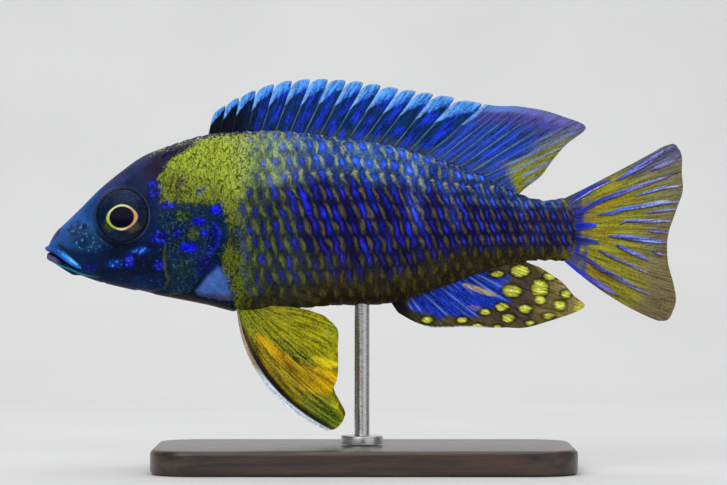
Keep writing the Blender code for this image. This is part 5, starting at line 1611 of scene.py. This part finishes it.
def backdrop_paper():
    """Matt studio paper, pale grey."""
    # It gives a plain pale ground with the faintest mottling, and from behind one looks through it.
    made, tree, shader = new_material("matt studio paper")
    where = add(tree, "ShaderNodeTexCoord", output="Object")
    cloud = add(tree, NOISE, {"Vector": where, "Scale": per_metre(60.0), "Detail": 2.0})
    tone = add(tree, RANGE, {0: cloud, 1: 0.3, 2: 0.7, 3: 0.66, 4: 0.69})
    grey = add(tree, COMBINE, {0: tone, 1: tone, 2: tone})
    fill(tree, shader, {"Base Color": grey, "Roughness": 0.9})
    from_behind = add(tree, "ShaderNodeNewGeometry", output="Backfacing")
    nothing = add(tree, "ShaderNodeBsdfTransparent")
    one_sided = add(tree, "ShaderNodeMixShader", {0: from_behind, 1: shader.outputs[0], 2: nothing})
    fill(tree, tree.nodes["Material Output"], {"Surface": one_sided})
    return made


def turned(name, profile, centre_x, material):
    """A piece turned about an upright line through centre_x, from radius and height, base first."""
    turns = np.arange(TURNED_SIDES) / TURNED_SIDES * math.tau
    radius, height = np.array(profile).T[..., None]
    points = stack(centre_x + radius * np.cos(turns), radius * np.sin(turns), height)
    return ringed_solid(name, points, material)


def ringed_solid(name, rings, material):
    """A solid from rings of points, base first, closed by a flat face at each end."""
    layers, count = rings.shape[:2]
    i, j = grid_cells(layers, count, closed=True)
    faces = (i * count + j % count).tolist()
    faces.append(list(range(count))[::-1])
    faces.append([(layers - 1) * count + k for k in range(count)])
    piece = new_piece(name, rings.reshape(-1, 3), faces, material)
    piece.data.set_sharp_from_angle(angle=math.radians(40))
    return piece


def make_rod(steel):
    """The rod up to the belly, with its flange on the board."""
    foot = BASE_THICK + ROD_GAP
    flange_top = foot + FLANGE_THICK
    ease = 0.3
    arc = [math.radians(a) for a in (0, 30, 60, 90)]
    profile = [(FLANGE_RADIUS, foot)]
    for a in arc:
        profile.append((FLANGE_RADIUS - ease + ease * math.cos(a), flange_top - ease + ease * math.sin(a)))
    for a in arc:
        profile.append((ROD_RADIUS + ease - ease * math.sin(a), flange_top + ease - ease * math.cos(a)))
    profile.append((ROD_RADIUS, float(belly_z(np.array(ROD_X)) + ROOT_SINK)))
    place(turned("steel_rod", profile, ROD_X, steel), "stand_steel", "stand_rod")


def make_board(wood):
    """The board, with rounded corners and eased edges."""
    outline = []
    for quarter in range(4):
        start = quarter * math.pi / 2
        corner_x = math.copysign(BASE_LENGTH / 2 - BASE_CORNER, math.cos(start + math.pi / 4))
        corner_y = math.copysign(BASE_WIDTH / 2 - BASE_CORNER, math.sin(start + math.pi / 4))
        outline += [(corner_x, corner_y, start + a) for a in np.linspace(0, math.pi / 2, CORNER_POINTS)]
    x, y, turn = np.array(outline).T
    arc = np.radians(np.linspace(0, 90, EASE_POINTS))
    low = [(BASE_EASE * math.sin(a), BASE_EASE - BASE_EASE * math.cos(a)) for a in arc]
    high = [(BASE_EASE * math.cos(a), BASE_THICK - BASE_EASE + BASE_EASE * math.sin(a)) for a in arc]
    reach, height = np.array(low + high).T[..., None]
    reach = BASE_CORNER - BASE_EASE + reach
    rings = stack(x + reach * np.cos(turn), y + reach * np.sin(turn), height)
    place(ringed_solid("lacquered_board", rings, wood), "stand_wood", "stand_base")


def make_sweep():
    """A pale sweep of paper that runs under the model and curves up behind it."""
    sweep = [(-SWEEP_END, 0.0), (SWEEP_FROM_Y, 0.0)]
    for a in np.linspace(0.1, math.pi / 2, 14):
        sweep.append((SWEEP_FROM_Y + SWEEP_RADIUS * math.sin(a), SWEEP_RADIUS * (1 - math.cos(a))))
    sweep.append((SWEEP_FROM_Y + SWEEP_RADIUS, SWEEP_END))
    y, z = np.array(sweep).T[..., None]
    points = stack(np.array([-SWEEP_HALF_WIDTH, SWEEP_HALF_WIDTH]), y, z)
    i, j = grid_cells(len(sweep), 2)
    floor = new_piece("paper_sweep", points.reshape(-1, 3), (i * 2 + j).tolist(), backdrop_paper())


def make_lamps():
    """Soft lamps, all aimed at the fish, and a dim even light from all round."""
    for name, position, size, power in LAMPS:
        data = bpy.data.lights.new(name, "AREA")
        data.size = size * MM
        data.energy = power
        lamp = bpy.data.objects.new(name, data)
        lamp.location = Vector(position) * MM
        aim = Vector((0, 0, LAMP_AIM_Z * MM)) - lamp.location
        lamp.rotation_euler = aim.to_track_quat("-Z", "Y").to_euler()
        bpy.context.scene.collection.objects.link(lamp)
    world = bpy.data.worlds.new("studio")
    bpy.context.scene.world = world
    world.use_nodes = True
    background = world.node_tree.nodes["Background"]
    to_camera = add(world.node_tree, "ShaderNodeLightPath", output="Is Camera Ray")
    strength = add(world.node_tree, RANGE, {0: to_camera, 3: WORLD_LIGHT, 4: WORLD_SEEN})
    tone = (*linear_colour("F2F4F8"), 1)
    fill(world.node_tree, background, {"Color": tone, "Strength": strength})


def make_camera():
    """The camera at the photograph's angle and framing, its picture as wide as the photograph."""
    lens = bpy.data.cameras.new("camera")
    lens.sensor_width = SENSOR_WIDTH
    lens.lens = SENSOR_WIDTH * CAMERA_DISTANCE / (PHOTO_WIDTH * PIXEL)
    camera = bpy.data.objects.new("camera", lens)
    middle_x = (PHOTO_WIDTH / 2 - PHOTO_ORIGIN_X) * PIXEL
    middle_z = (PHOTO_FLOOR_Y - PHOTO_HEIGHT / 2) * PIXEL
    camera.location = (middle_x * MM, -CAMERA_DISTANCE * MM, middle_z * MM)
    camera.rotation_euler = (math.pi / 2, 0, 0)
    bpy.context.scene.collection.objects.link(camera)
    bpy.context.scene.camera = camera
    bpy.context.scene.view_settings.view_transform = "Standard"


def main():
    make_sweep()
    make_lamps()
    make_camera()
    skin = scaled_skin()
    make_skin(skin)
    make_scales(skin)
    make_fins({
        "blue": membrane("blue fin membrane", 0.5),
        "olive": membrane("olive fin membrane", 0.5),
        "clear": membrane("clear fin membrane", 0.3, clear=True),
    })
    make_eyes(eye_gloss())
    make_rod(turned_steel())
    make_board(lacquered_wood())


main()
